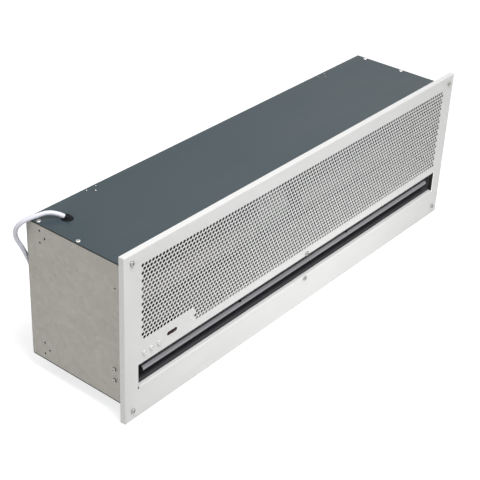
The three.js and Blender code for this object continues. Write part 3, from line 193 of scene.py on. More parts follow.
def plated_steel(name, dull, bright, low, high):
    """Zinc or nickel plating on a pressed screw head: bright, with fine tumbling marks."""
    material, tree, place = new_material(name, Metallic=1.0)
    marks = add_node(tree, "ShaderNodeTexNoise", {
        "Vector": place, "Scale": per_metre(1.2), "Detail": 3.0, "Roughness": 0.7}).outputs["Fac"]
    colour = add_node(tree, "ShaderNodeMix", {
        0: marks, 6: linear(dull), 7: linear(bright)}, data_type="RGBA").outputs[2]
    gloss = add_node(tree, "ShaderNodeMapRange", {
        "Value": marks, "To Min": low, "To Max": high}).outputs["Result"]
    return patterned(material, Base_Color=colour, Roughness=gloss)


def ground_steel():
    """Steel bar ground between centres: rings run round the shaft, 2 mm apart so that they show."""
    material, tree, place = new_material("ground_steel_bar", Metallic=1.0, Roughness=0.25)
    round_it = add_node(tree, "ShaderNodeMapping", {
        "Vector": place, "Scale": (1, 0.02, 0.02)}).outputs["Vector"]
    rings = add_node(tree, "ShaderNodeTexNoise", {
        "Vector": round_it, "Scale": per_metre(2), "Detail": 1.0}).outputs["Fac"]
    colour = add_node(tree, "ShaderNodeMix", {
        0: rings, 6: linear("ABABA9"), 7: linear("C8C8C6")}, data_type="RGBA").outputs[2]
    return patterned(material, Base_Color=colour)


def polished_extrusion():
    """Aluminium extrusion, polished and clear anodised: it mirrors softly, and its die lines are
    drawn out along its length."""
    material, tree, place = new_material("polished_aluminium_extrusion", Metallic=1.0)
    along = add_node(tree, "ShaderNodeMapping", {
        "Vector": place, "Scale": (0.01, 1, 1)}).outputs["Vector"]
    drawn_out = add_node(tree, "ShaderNodeMapping", {
        "Vector": place, "Scale": (0.3, 1, 1)}).outputs["Vector"]
    lines = add_node(tree, "ShaderNodeTexNoise", {
        "Vector": along, "Scale": per_metre(1.5), "Detail": 2.0}).outputs["Fac"]
    tone = add_node(tree, "ShaderNodeTexNoise", {
        "Vector": drawn_out, "Scale": per_metre(90), "Detail": 3.0}).outputs["Fac"]
    colour = add_node(tree, "ShaderNodeMix", {
        0: tone, 6: linear("7A7A7E"), 7: linear("949498")}, data_type="RGBA").outputs[2]
    gloss = add_node(tree, "ShaderNodeMapRange", {
        "Value": lines, "To Min": 0.16, "To Max": 0.26}).outputs["Result"]
    bump = add_node(tree, "ShaderNodeBump", {
        "Height": lines, "Distance": 0.00005}).outputs["Normal"]
    return patterned(material, Base_Color=colour, Roughness=gloss, Normal=bump)


def rolled_aluminium():
    """Bare aluminium strip as the blades are rolled from: mill finish with faint rolling lines."""
    material, tree, place = new_material("mill_finish_aluminium", Metallic=1.0)
    along = add_node(tree, "ShaderNodeMapping", {
        "Vector": place, "Scale": (0.05, 1, 1)}).outputs["Vector"]
    lines = add_node(tree, "ShaderNodeTexNoise", {
        "Vector": along, "Scale": per_metre(3), "Detail": 2.0}).outputs["Fac"]
    colour = add_node(tree, "ShaderNodeMix", {
        0: lines, 6: linear("6E6A68"), 7: linear("827D7A")}, data_type="RGBA").outputs[2]
    gloss = add_node(tree, "ShaderNodeMapRange", {
        "Value": lines, "To Min": 0.34, "To Max": 0.48}).outputs["Result"]
    return patterned(material, Base_Color=colour, Roughness=gloss)


def cast_aluminium():
    """Pressure-cast aluminium, bead-blasted: an even fine grain, drawn at 1.5 mm."""
    material, tree, place = new_material("blasted_cast_aluminium", Metallic=0.9)
    grain = add_node(tree, "ShaderNodeTexNoise", {
        "Vector": place, "Scale": per_metre(1.5), "Detail": 3.0, "Roughness": 0.7}).outputs["Fac"]
    colour = add_node(tree, "ShaderNodeMix", {
        0: grain, 6: linear("8A8A88"), 7: linear("A4A4A2")}, data_type="RGBA").outputs[2]
    gloss = add_node(tree, "ShaderNodeMapRange", {
        "Value": grain, "To Min": 0.5, "To Max": 0.65}).outputs["Result"]
    bump = add_node(tree, "ShaderNodeBump", {
        "Height": grain, "Distance": 0.0001}).outputs["Normal"]
    return patterned(material, Base_Color=colour, Roughness=gloss, Normal=bump)


def moulded_plastic(name, dark, light, low, high, grain_size=1.0, **values):
    """Injection-moulded plastic: a spark-eroded grain, and a little cloudiness in its colour."""
    material, tree, place = new_material(name, **values)
    grain = add_node(tree, "ShaderNodeTexNoise", {
        "Vector": place, "Scale": per_metre(grain_size), "Roughness": 0.6}).outputs["Fac"]
    tone = add_node(tree, "ShaderNodeTexNoise", {
        "Vector": place, "Scale": per_metre(25), "Detail": 3.0}).outputs["Fac"]
    colour = add_node(tree, "ShaderNodeMix", {
        0: tone, 6: linear(dark), 7: linear(light)}, data_type="RGBA").outputs[2]
    gloss = add_node(tree, "ShaderNodeMapRange", {
        "Value": grain, "To Min": low, "To Max": high}).outputs["Result"]
    bump = add_node(tree, "ShaderNodeBump", {
        "Height": grain, "Distance": 0.00002}).outputs["Normal"]
    return patterned(material, Base_Color=colour, Roughness=gloss, Normal=bump)


def smoked_acrylic():
    """Dark red acrylic that lets infrared through: polished, almost black by day."""
    material, tree, place = new_material("dark_red_acrylic", Specular_IOR_Level=0.08)
    haze = add_node(tree, "ShaderNodeTexNoise", {
        "Vector": place, "Scale": per_metre(6)}).outputs["Fac"]
    colour = add_node(tree, "ShaderNodeMix", {
        0: haze, 6: linear("1E060C"), 7: linear("2C0A12")}, data_type="RGBA").outputs[2]
    gloss = add_node(tree, "ShaderNodeMapRange", {
        "Value": haze, "To Min": 0.12, "To Max": 0.2}).outputs["Result"]
    return patterned(material, Base_Color=colour, Roughness=gloss)


def circuit_board():
    """Glass-epoxy board under green solder mask: the weave shows faintly, drawn at 2 mm."""
    material, tree, place = new_material("green_circuit_board", Roughness=0.4)
    weave = add_node(tree, "ShaderNodeTexChecker", {
        "Vector": place, "Scale": per_metre(2), "Color1": linear("27543A"),
        "Color2": linear("2E5E42")}).outputs["Color"]
    return patterned(material, Base_Color=weave)


FINISHES = {
    "panel_coat": powder_coat(),
    "slate_sheet": coil_coated_sheet(),
    "zinc_sheet": galvanised_sheet(),
    "dark_sheet": dark_duct_paint(),
    "case_screw": plated_steel("zinc_plated_screw", "CFCFCC", "E2E2E0", 0.2, 0.32),
    "panel_screw": plated_steel("nickel_plated_screw", "969591", "ABAAA6", 0.2, 0.32),
    "impeller": rolled_aluminium(),
    "steel_shaft": ground_steel(),
    "black_rubber": moulded_plastic("moulded_nitrile_rubber", "171717", "202020", 0.6, 0.75),
    "motor_casting": cast_aluminium(),
    "vane_aluminium": polished_extrusion(),
    "white_plastic": moulded_plastic("white_nylon", "E2E2E4", "EAEAEC", 0.35, 0.5),
    "black_plastic": moulded_plastic(
        "black_nylon", "090A0C", "101114", 0.5, 0.62, Specular_IOR_Level=0.12),
    "board": circuit_board(),
    "smoked_window": smoked_acrylic(),
    "button_plastic": moulded_plastic("white_satin_abs", "D6D6D2", "DEDEDB", 0.34, 0.44),
    "black_lead": moulded_plastic("black_cable_sheath", "181818", "222222", 0.45, 0.6, 2),
    "white_lead": moulded_plastic("white_pvc_sheath", "DEDEEA", "E8E8F2", 0.32, 0.44, 3),
    "plug_plastic": moulded_plastic("white_moulded_pvc", "DFDFE8", "E8E8F0", 0.38, 0.5),
}
SLOT_OF = {row["node"]: row["material_slot"] for row in frame["record"]["subparts"]}
for node_name, node in frame["nodes"].items():
    node.data.materials.clear()
    node.data.materials.append(FINISHES[SLOT_OF[node_name]])


# ---- Pieces ----
SHARP_ANGLE = math.radians(32)
MERGE_DISTANCE = 0.000002


def mesh_object(name, bm, material):
    mesh = bpy.data.meshes.new(name)
    bm.to_mesh(mesh)
    bm.free()
    mesh.materials.append(material)
    return add_object(name, mesh)


def finish_piece(name, bm, slot, body, nodes=(), thickness=0.0):
    """Makes a bmesh a piece that rides on a body and stands for its CAD nodes. An open sheet whose
    faces look outwards gets its thickness inwards."""
    bmesh.ops.remove_doubles(bm, verts=bm.verts, dist=MERGE_DISTANCE)
    if thickness:
        bmesh.ops.solidify(bm, geom=bm.faces[:], thickness=thickness)
    piece = mesh_object(name, bm, FINISHES[slot])
    piece.data.shade_smooth()
    piece.data.set_sharp_from_angle(angle=SHARP_ANGLE)
    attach(piece, body)
    if nodes:
        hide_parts(*nodes)
    return piece


def placed(origin, across, upwards, outwards):
    """The matrix of a flat piece drawn in its own X and Y, with Z as its outward side."""
    columns = Matrix((across, upwards, outwards)).transposed().to_4x4()
    return Matrix.Translation(origin) @ columns


def facing_x(origin, side=1):
    """The matrix of a piece drawn flat whose outward side looks to one end of the unit."""
    return placed(origin, (0, side, 0), (0, 0, 1), (side, 0, 0))


def on_front(x, z, depth=0.0):
    """The matrix of a piece drawn flat at a depth behind the panel's face."""
    return placed((x, FRONT + depth, z), (1, 0, 0), (0, 0, 1), (0, -1, 0))


def draw_out(bm, edges, step):
    """Draws edges out into faces, and returns the new edges."""
    made = bmesh.ops.extrude_edge_only(bm, edges=edges)["geom"]
    moved = [item for item in made if isinstance(item, bmesh.types.BMVert)]
    bmesh.ops.translate(bm, verts=moved, vec=step)
    return [item for item in made if isinstance(item, bmesh.types.BMEdge)]


def ring_edges(verts):
    return list({edge for vert in verts for edge in vert.link_edges})


def round_hole(bm, x, y, radius, sides=16):
    """The edges of a round hole in a sheet drawn in the XY plane."""
    made = bmesh.ops.create_circle(
        bm, cap_ends=False, segments=sides, radius=radius, matrix=Matrix.Translation((x, y, 0)))
    return ring_edges(made["verts"])


def obround_hole(bm, x, y, length, height, sides=24):
    """The edges of a slot with round ends: a circle whose halves are drawn apart."""
    spin = Matrix.Rotation(math.pi / sides, 4, "Z")
    made = bmesh.ops.create_circle(
        bm, cap_ends=False, segments=sides, radius=height / 2, matrix=spin)
    for vert in made["verts"]:
        reach = math.copysign((length - height) / 2, vert.co.x)
        vert.co += Vector((x + reach, y, 0))
    return ring_edges(made["verts"])


def outline_edges(bm, points, height=0.0):
    """A closed loop of edges through points of a level plane."""
    corners = [bm.verts.new((a, b, height)) for a, b in points]
    return [bm.edges.new((corners[i - 1], corners[i])) for i in range(len(corners))]


def chain(bm, points):
    """Vertices at the points, and the edges from each to the next."""
    verts = [bm.verts.new(point) for point in points]
    return verts, [bm.edges.new(pair) for pair in zip(verts, verts[1:])]


def turn_faces(bm, direction):
    """Makes the faces of an open sheet agree, with the largest one looking in a direction."""
    bmesh.ops.recalc_face_normals(bm, faces=bm.faces)
    largest = max(bm.faces, key=lambda face: face.calc_area())
    if largest.normal.dot(Vector(direction)) < 0:
        bmesh.ops.reverse_faces(bm, faces=bm.faces)


def arc(centre, radius, start, end, steps):
    """Points of an arc in two dimensions; angles in degrees."""
    angles = [math.radians(start + (end - start) * i / steps) for i in range(steps + 1)]
    return [(centre[0] + radius * math.cos(a), centre[1] + radius * math.sin(a)) for a in angles]


def rounded_line(points, radius, steps=4):
    """An open line whose corners are rounded, as a folded sheet's are."""
    line = [Vector(points[0])]
    for before, corner, after in zip(points, points[1:], points[2:]):
        corner = Vector(corner)
        towards = (Vector(before) - corner).normalized()
        onwards = (Vector(after) - corner).normalized()
        half = towards.angle(onwards) / 2
        reach = radius / math.tan(half)
        middle = corner + (towards + onwards).normalized() * radius / math.sin(half)
        first = corner + towards * reach - middle
        last = corner + onwards * reach - middle
        line += [middle + first.slerp(last, i / steps) * radius for i in range(steps + 1)]
    return line + [Vector(points[-1])]


def swept_sheet(bm, line, x0, x1):
    """A sheet folded along a line of (y, z) points, drawn out along X."""
    draw_out(bm, chain(bm, [(x0, *point) for point in line])[1], (x1 - x0, 0, 0))


def turned(bm, profile, place, steps=32):
    """Adds a solid turned round its own Z axis from (radius, height) points."""
    part = bmesh.new()
    verts, edges = chain(part, [(radius, 0, height) for radius, height in profile])
    if profile[0][0] > 0:
        edges.append(part.edges.new((verts[-1], verts[0])))
    bmesh.ops.spin(
        part, geom=verts + edges, cent=(0, 0, 0), axis=(0, 0, 1), dvec=(0, 0, 0),
        angle=2 * math.pi, steps=steps, use_merge=True, use_duplicate=False)
    add_solid(bm, part, place)


def prism(bm, points, place, height, softened=0.0):
    """Adds a solid drawn out from a flat outline along its own Z axis, with its edges softened."""
    part = bmesh.new()
    face = part.faces.new([part.verts.new((a, b, 0)) for a, b in points])
    made = bmesh.ops.extrude_face_region(part, geom=[face])["geom"]
    top = [item for item in made if isinstance(item, bmesh.types.BMVert)]
    bmesh.ops.translate(part, verts=top, vec=(0, 0, height))
    if softened:
        soften(part, part.edges[:], softened)
    add_solid(bm, part, place)


def soften(bm, edges, radius, segments=3):
    bmesh.ops.bevel(
        bm, geom=edges, offset=radius, segments=segments, profile=0.5, affect="EDGES",
        material=-1, clamp_overlap=True)


def add_solid(bm, part, place):
    """Merges, closes and places a solid, and adds it to a piece."""
    bmesh.ops.remove_doubles(part, verts=part.verts, dist=MERGE_DISTANCE)
    bmesh.ops.recalc_face_normals(part, faces=part.faces)
    bmesh.ops.transform(part, matrix=place, verts=part.verts)
    mesh = bpy.data.meshes.new("solid")
    part.to_mesh(mesh)
    part.free()
    bm.from_mesh(mesh)
    bpy.data.meshes.remove(mesh)


# ---- Supply lead ----
CLEARANCE = 0.0003
HOUSING_TOP = 0.2955
HOUSING_SHEET = 0.0012
CORD_RADIUS = 0.004
GLAND_PIVOT = Vector((-0.428, 0.064, 0.2977))
GLAND_NUT = 0.005
GLAND_TILT = math.radians(28)
GLAND_REACH = 0.005
LEAD_HEADING = Vector((-0.651, 0.759)).normalized()
LEAD_DIRECTION = Vector((
    LEAD_HEADING.x * math.cos(GLAND_TILT),
    LEAD_HEADING.y * math.cos(GLAND_TILT),
    math.sin(GLAND_TILT),
))
LEAD_START = GLAND_PIVOT + LEAD_DIRECTION * (GLAND_REACH + CLEARANCE)
LEAD_ROUTE = [
    LEAD_START,
    LEAD_START + LEAD_DIRECTION * 0.003,
    (-0.43720, 0.07499, 0.30437),
    (-0.44489, 0.08305, 0.30659),
    (-0.45290, 0.08905, 0.30667),
    (-0.46165, 0.09391, 0.30516),
    (-0.47183, 0.10054, 0.30221),
    (-0.47979, 0.10808, 0.29693),
    (-0.48450, 0.11488, 0.28989),
    (-0.48651, 0.12106, 0.28074),
    (-0.48553, 0.12616, 0.26858),
    (-0.48047, 0.12834, 0.25312),
    (-0.47308, 0.12697, 0.23740),
    (-0.4665, 0.1249, 0.2200),
    (-0.4590, 0.1217, 0.1960),
    (-0.4520, 0.1196, 0.1640),
    (-0.4460, 0.1190, 0.1280),
    (-0.4412, 0.1196, 0.0920),
    (-0.4358, 0.1213, 0.0630),
    (-0.4270, 0.1238, 0.0390),
    (-0.4120, 0.1270, 0.0190),
    (-0.3900, 0.1307, 0.0078),
    (-0.3620, 0.1342, 0.0048),
    (-0.3280, 0.1368, 0.0048),
    (-0.2900, 0.1382, 0.0048),
]
COIL_CENTRE = (-0.255, 0.190)
COIL_TURNS = 4
COIL_INNER_RADIUS = 0.0342
COIL_SPACING = 0.0087
COIL_LEVEL = 0.0048
COIL_LAYER = 0.0088
COIL_STEPS = 48
LEAD_STEPS = 8


def smoothstep(value, low, high):
    share = min(max((value - low) / (high - low), 0.0), 1.0)
    return share * share * (3 - 2 * share)


def coil_point(turn):
    """A point of the coil: in on the lower layer and out on the upper one."""
    half = COIL_TURNS / 2
    radius = COIL_INNER_RADIUS + COIL_SPACING * math.hypot(turn - half, 0.05)
    angle = 2 * math.pi * turn - math.pi / 2
    climb = smoothstep(turn, half - 0.25, half + 0.25)
    return Vector((
        COIL_CENTRE[0] + radius * math.cos(angle),
        COIL_CENTRE[1] + radius * math.sin(angle),
        COIL_LEVEL + COIL_LAYER * climb,
    ))


def smooth_through(points, steps):
    """A centripetal Catmull-Rom curve through the points."""
    points = [Vector(point) for point in points]
    padded = [2 * points[0] - points[1], *points, 2 * points[-1] - points[-2]]
    curve = []
    for a, b, c, d in zip(padded, padded[1:], padded[2:], padded[3:]):
        t1 = math.sqrt((b - a).length)
        t2 = t1 + math.sqrt((c - b).length)
        t3 = t2 + math.sqrt((d - c).length)
        for i in range(steps):
            t = t1 + (t2 - t1) * i / steps
            first = a.lerp(b, t / t1)
            second = b.lerp(c, (t - t1) / (t2 - t1))
            third = c.lerp(d, (t - t2) / (t3 - t2))
            early = first.lerp(second, t / t2)
            late = second.lerp(third, (t - t1) / (t3 - t1))
            curve.append(early.lerp(late, (t - t1) / (t2 - t1)))
    return curve + [points[-1]]


def supply_lead():
    count = COIL_TURNS * COIL_STEPS
    turns = [coil_point(i / COIL_STEPS) for i in range(count + 1)]
    straight = Vector((2 * CORD_RADIUS, 0, 0))
    route = LEAD_ROUTE + [turns[0] - straight]
    line = smooth_through(route, LEAD_STEPS) + turns + [turns[-1] + straight]
    data = bpy.data.curves.new("supply_lead", "CURVE")
    data.dimensions = "3D"
    data.bevel_depth = CORD_RADIUS
    data.bevel_resolution = 4
    data.use_fill_caps = True
    spline = data.splines.new("POLY")
    spline.points.add(len(line) - 1)
    for point, place in zip(spline.points, line):
        point.co = (*place, 1.0)
    data.materials.append(FINISHES["white_lead"])
    lead = add_object("supply_lead", data)
    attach(lead, "housing")
    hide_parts("cord_lead", "cord_coil")
    length = sum((b - a).length for a, b in zip(line, line[1:]))
    return lead, length


def lead_gland():
    """A nylon gland: a domed collar on the sheet, a short slanted spout and a nut below."""
    bm = bmesh.new()
    collar = [
        (0, 0), (0.0103, 0), (0.0103, 0.0012), (0.0099, 0.0022), (0.0090, 0.0029), (0.0074, 0.0033),
        (0, 0.0034),
    ]
    foot = Matrix.Translation((GLAND_PIVOT.x, GLAND_PIVOT.y, HOUSING_TOP + CLEARANCE))
    turned(bm, collar, foot, 40)
    under = HOUSING_TOP - 2 * HOUSING_SHEET - CLEARANCE
    neck = Matrix.Translation((GLAND_PIVOT.x, GLAND_PIVOT.y, under - GLAND_NUT - 0.003))
    rise = HOUSING_TOP + 0.001 - neck.translation.z
    turned(bm, [(0, 0), (0.0079, 0), (0.0079, rise), (0, rise)], neck, 32)
    nut = arc((0, 0), 0.012, 0, 300, 5)
    seat = Matrix.Translation((GLAND_PIVOT.x, GLAND_PIVOT.y, under - GLAND_NUT))
    prism(bm, nut, seat, GLAND_NUT)
    spout = [(0, -0.0008), (0.0070, -0.0008), (0.0069, 0.0008), (0.0065, 0.0026), (0.0061, 0.0042)]
    spout += [(0.0057, 0.0048), (0.0052, GLAND_REACH), (0, GLAND_REACH)]
    lean = LEAD_DIRECTION.to_track_quat("Z", "Y").to_matrix().to_4x4()
    turned(bm, spout, Matrix.Translation(GLAND_PIVOT) @ lean, 32)
    return finish_piece("lead_gland", bm, "black_plastic", "housing", ["cable_gland"])


def hook_tie():
    """A hook-and-loop band round the coil."""
    low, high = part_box("coil_tie")
    bm = bmesh.new()
    radius = 0.003
    band = 0.0007
    corners = [
        (low.x + band, low.z + band), (high.x - band, low.z + band),
        (high.x - band, high.z - band), (low.x + band, high.z - band),
    ]
    middle = ((low.x + high.x) / 2, low.z + band)
    line = rounded_line([middle, *corners[1:], corners[0], middle], radius, 6)
    verts = [bm.verts.new((x, low.y, z)) for x, z in line[:-1]]
    edges = [bm.edges.new((verts[i - 1], verts[i])) for i in range(len(verts))]
    draw_out(bm, edges, (0, high.y - low.y, 0))
    bmesh.ops.recalc_face_normals(bm, faces=bm.faces)
    top = max(bm.faces, key=lambda face: face.calc_center_median().z)
    if top.normal.z < 0:
        bmesh.ops.reverse_faces(bm, faces=bm.faces)
    bmesh.ops.solidify(bm, geom=bm.faces[:], thickness=-band + 0.0001)
    return finish_piece("hook_tie", bm, "black_plastic", "housing", ["coil_tie"])


RELIEF_RIBS = 9
GRIP_LENGTH = 0.062
PIN_SPACING = 0.019


def moulded_plug():
    """A moulded plug: a waisted grip, a ribbed strain relief and two plated pins."""
    low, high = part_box("plug")
    centre_y = (low.y + high.y) / 2
    level = (low.z + high.z) / 2
    start = low.x
    bm = bmesh.new()
    relief = [(0, 0), (0.0043, 0)]
    for i in range(RELIEF_RIBS):
        at = 0.001 + 0.024 * i / RELIEF_RIBS
        size = 0.0043 + 0.0023 * i / RELIEF_RIBS
        relief += [(size, at), (size, at + 0.0014), (size - 0.0009, at + 0.0017),
                   (size - 0.0009, at + 0.0024)]
    relief += [(0.0066, 0.026), (0, 0.026)]
    turned(bm, relief, facing_x((start, centre_y, level)), 28)
    grip = [
        (0.025, -0.008), (0.0305, -0.0095), (0.034, -0.0125), (0.046, -0.0138), (0.0585, -0.0168),
        (GRIP_LENGTH, -0.0140), (GRIP_LENGTH, 0.0140), (0.0585, 0.0168), (0.046, 0.0138),
        (0.034, 0.0125), (0.0305, 0.0095), (0.025, 0.008),
    ]
    prism(bm, grip, Matrix.Translation((start, centre_y, low.z)), high.z - low.z, 0.0032)
    grip_piece = finish_piece("plug_grip", bm, "plug_plastic", "housing", ["plug"])
    pins = bmesh.new()
    pin = [(0, -0.003), (0.0024, -0.003), (0.0024, 0.0168), (0.0021, 0.0181), (0.0014, 0.0189),
           (0, 0.019)]
    for side in (-1, 1):
        foot = (start + GRIP_LENGTH, centre_y + side * PIN_SPACING / 2, level)
        turned(pins, pin, facing_x(foot), 20)
    pins_piece = finish_piece("plug_pins", pins, "panel_screw", "housing")
    return grip_piece, pins_piece


lead, lead_length = supply_lead()
gland = lead_gland()
tie = hook_tie()
plug_grip, plug_pins = moulded_plug()


# ---- Front panel ----
panel_low, panel_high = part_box("front_panel")
FRONT = panel_low.y
PANEL_DEPTH = 0.011
PANEL_SHEET = 0.0008
FOLD_RADIUS = 0.0016
SLOT_LEFT = -0.451
SLOT_RIGHT = 0.456
SLOT_BOTTOM = 0.060
SLOT_TOP = 0.105
SLOT_MIDDLE = (SLOT_LEFT + SLOT_RIGHT) / 2
LIP_DEPTH = 0.008
RELIEF_RADIUS = 0.0022
HOLE_RADIUS = 0.0034
HOLE_PITCH = 0.008
ROW_PITCH = 0.0072
FIELD_LEFT = -0.440
FIELD_TOP_ROW = 0.290
FIELD_COLUMNS = 111
FIELD_ROWS = 24
NOTCH_COLUMNS = 16
NOTCH_ROWS = 4
SCREW_HOLE_RADIUS = 0.0026
PANEL_SCREWS = [
    (-0.464, 0.3045), (0.464, 0.3045), (-0.464, 0.019), (0.464, 0.019),
    (SLOT_MIDDLE, 0.1095), (SLOT_MIDDLE, 0.0546),
]
BUTTON_X = (-0.4366, -0.4191, -0.4016)
BUTTON_Z = 0.1236
BUTTON_RADIUS = 0.0046
WINDOW = (-0.3706, 0.1295)
WINDOW_LENGTH = 0.024
WINDOW_HEIGHT = 0.0068


def repeat(bm, geom, count, step):
    """Copies of some geometry in a row, the first one included."""
    everything = list(geom)
    for i in range(1, count):
        made = bmesh.ops.duplicate(bm, geom=geom)["geom"]
        verts = [item for item in made if isinstance(item, bmesh.types.BMVert)]
        bmesh.ops.translate(bm, verts=verts, vec=Vector(step) * i)
        everything += made
    return everything


def hole_field(first_row, rows, first_column, columns):
    """A block of the perforation: a round hole in its share of the sheet, repeated in staggered
    rows. Each share has eight corners, so that it meets the shifted rows corner to corner."""
    field = bmesh.new()
    rim = field.verts.layers.int.new("hole_rim")
    hole = bmesh.ops.create_circle(
        field, cap_ends=False, segments=8, radius=HOLE_RADIUS)["verts"]
    share = bmesh.ops.create_circle(field, cap_ends=False, segments=8, radius=1.0)["verts"]
    for vert in share:
        vert.co.x = round(vert.co.x) * HOLE_PITCH / 2
        vert.co.y = round(vert.co.y) * ROW_PITCH / 2
    bmesh.ops.bridge_loops(field, edges=ring_edges(hole + share))
    for vert in hole:
        vert[rim] = 1
    cell = field.verts[:] + field.edges[:] + field.faces[:]
    row = repeat(field, cell, columns, (HOLE_PITCH, 0, 0))
    pair = repeat(field, row, 2, (HOLE_PITCH / 2, -ROW_PITCH, 0))
    repeat(field, pair, rows // 2, (0, -2 * ROW_PITCH, 0))
    corner = (FIELD_LEFT + first_column * HOLE_PITCH, FIELD_TOP_ROW - first_row * ROW_PITCH, 0)
    bmesh.ops.translate(field, verts=field.verts, vec=corner)
    return field


def slot_outline():
    """The slot, with a round relief hole at each end of the fold along its lower edge."""
    low = SLOT_BOTTOM - FOLD_RADIUS
    inset = 0.0005
    rise = math.degrees(math.asin(inset / RELIEF_RADIUS))
    left = arc((SLOT_LEFT + inset, low), RELIEF_RADIUS, 90 + rise, 360, 8)
    right = arc((SLOT_RIGHT - inset, low), RELIEF_RADIUS, 180, 450 - rise, 8)
    return [(SLOT_LEFT, SLOT_TOP), *left, *right, (SLOT_RIGHT, SLOT_TOP)]


def perforated_panel():
    """A shallow tray of sheet steel, drawn flat with its outside up and then stood up."""
    bm = bmesh.new()
    upper_rows = FIELD_ROWS - NOTCH_ROWS
    blocks = [
        hole_field(0, upper_rows, 0, FIELD_COLUMNS),
        hole_field(upper_rows, NOTCH_ROWS, NOTCH_COLUMNS, FIELD_COLUMNS - NOTCH_COLUMNS),
    ]
    for block in blocks:
        mesh = bpy.data.meshes.new("field")
        block.to_mesh(mesh)
        block.free()
        bm.from_mesh(mesh)
        bpy.data.meshes.remove(mesh)
    bmesh.ops.remove_doubles(bm, verts=bm.verts, dist=0.00001)
    rim = bm.verts.layers.int["hole_rim"]
    border = [e for e in bm.edges if e.is_boundary and not (e.verts[0][rim] or e.verts[1][rim])]

    half_length = panel_high.x - FOLD_RADIUS
    low, high = panel_low.z + FOLD_RADIUS, panel_high.z - FOLD_RADIUS
    outer = outline_edges(bm, [
        (-half_length, low), (half_length, low), (half_length, high), (-half_length, high)])
    slot = outline_edges(bm, slot_outline())
    edges = border + outer + slot
    for x, z in PANEL_SCREWS:
        edges += round_hole(bm, x, z, SCREW_HOLE_RADIUS)
    for x in BUTTON_X:
        edges += round_hole(bm, x, BUTTON_Z, BUTTON_RADIUS + CLEARANCE, 24)
    edges += obround_hole(
        bm, *WINDOW, WINDOW_LENGTH + 2 * CLEARANCE, WINDOW_HEIGHT + 2 * CLEARANCE)
    bmesh.ops.triangle_fill(bm, use_beauty=True, edges=edges)

    middle = (low + high) / 2
    loop = outer
    fold = arc((0, 0), FOLD_RADIUS, 90, 0, 4)[1:]
    steps = [(a - b[0], c - b[1]) for (a, c), b in zip(fold, [(0, FOLD_RADIUS), *fold])]
    for out, drop in [*steps, (0, FOLD_RADIUS - PANEL_DEPTH)]:
        loop = draw_out(bm, loop, (0, 0, 0))
        for vert in {vert for edge in loop for vert in edge.verts}:
            vert.co += Vector((
                math.copysign(out, vert.co.x), math.copysign(out, vert.co.y - middle), drop))
    lip = [e for e in slot if max(abs(v.co.y - SLOT_BOTTOM + FOLD_RADIUS) for v in e.verts) < 1e-6]
    lip = [max(lip, key=lambda edge: edge.calc_length())]
    for out, drop in [*steps, (0, FOLD_RADIUS - LIP_DEPTH)]:
        lip = draw_out(bm, lip, (0, out, drop))
    turn_faces(bm, (0, 0, 1))
    bmesh.ops.transform(bm, matrix=on_front(0, 0), verts=bm.verts)
    return finish_piece(
        "perforated_panel", bm, "panel_coat", "housing", ["front_panel"], PANEL_SHEET)


# ---- Housing ----
wrap_low, wrap_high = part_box("housing_wrap")
EDGE_FLANGE = 0.020
END_FLANGE = 0.011
HOUSING_BOTTOM = 0.0275
HOUSING_BACK = 0.114
HOUSING_FRONT = -0.1033
HOUSING_END = 0.472
ENDS = (("left", -1), ("right", 1))
BRACKET_HOLES_TOP = [(-0.319, 0.108), (-0.330, 0.097), (-0.341, 0.108)]
BRACKET_HOLES_END = [
    (0.083, 0.285), (0.0715, 0.274), (0.083, 0.2625),
    (0.083, 0.0635), (0.0715, 0.0525), (0.083, 0.041),
]
BRACKET_HOLE_RADIUS = 0.002
TOP_SCREWS = [(-0.465, 0.001), (-0.465, 0.091), (0.465, 0.001), (0.465, 0.091)]
END_SCREWS = [(-0.0807, 0.091), (-0.0807, 0.0685)]
SIDE_HOLE = (-0.0845, 0.2495)
SIDE_HOLE_RADIUS = 0.0016
GLAND_HOLE_RADIUS = 0.0083
PLATE_STEP = 0.0013  # the end plates stop this far before the wrap's back


def perforate(bm, face, holes):
    """Cuts round holes, given as (place, radius) in the face's own XY plane, into a flat face."""
    edges = list(face.edges)
    bmesh.ops.delete(bm, geom=[face], context="FACES_ONLY")
    for (x, y), radius in holes:
        edges += round_hole(bm, x, y, radius)
    bmesh.ops.triangle_fill(bm, use_beauty=True, edges=edges)


def folded_wrap():
    """Top, back and bottom in one sheet, with flanges turned out behind the panel. It is drawn
    with its top face at height zero, so that the holes can be cut there."""
    bm = bmesh.new()
    line = rounded_line(
        [
            (HOUSING_FRONT, HOUSING_TOP + EDGE_FLANGE), (HOUSING_FRONT, HOUSING_TOP),
            (HOUSING_BACK, HOUSING_TOP), (HOUSING_BACK, HOUSING_BOTTOM),
            (HOUSING_FRONT, HOUSING_BOTTOM), (HOUSING_FRONT, HOUSING_BOTTOM - EDGE_FLANGE),
        ],
        FOLD_RADIUS)
    line = [(y, z - HOUSING_TOP) for y, z in line]
    swept_sheet(bm, line, wrap_low.x, wrap_high.x)
    level = [f for f in bm.faces if max(abs(v.co.z) for v in f.verts) < 1e-6]
    mirrored = [(-x, y) for x, y in BRACKET_HOLES_TOP]
    holes = [(place, BRACKET_HOLE_RADIUS) for place in [*BRACKET_HOLES_TOP, *mirrored]]
    holes += [(place, SCREW_HOLE_RADIUS) for place in TOP_SCREWS]
    holes.append(((GLAND_PIVOT.x, GLAND_PIVOT.y), GLAND_HOLE_RADIUS))
    perforate(bm, max(level, key=lambda face: face.calc_area()), holes)
    turn_faces(bm, (0, 0, 1))
    bmesh.ops.translate(bm, verts=bm.verts, vec=(0, 0, HOUSING_TOP))
    return finish_piece(
        "folded_wrap", bm, "slate_sheet", "housing", ["housing_wrap"], HOUSING_SHEET)


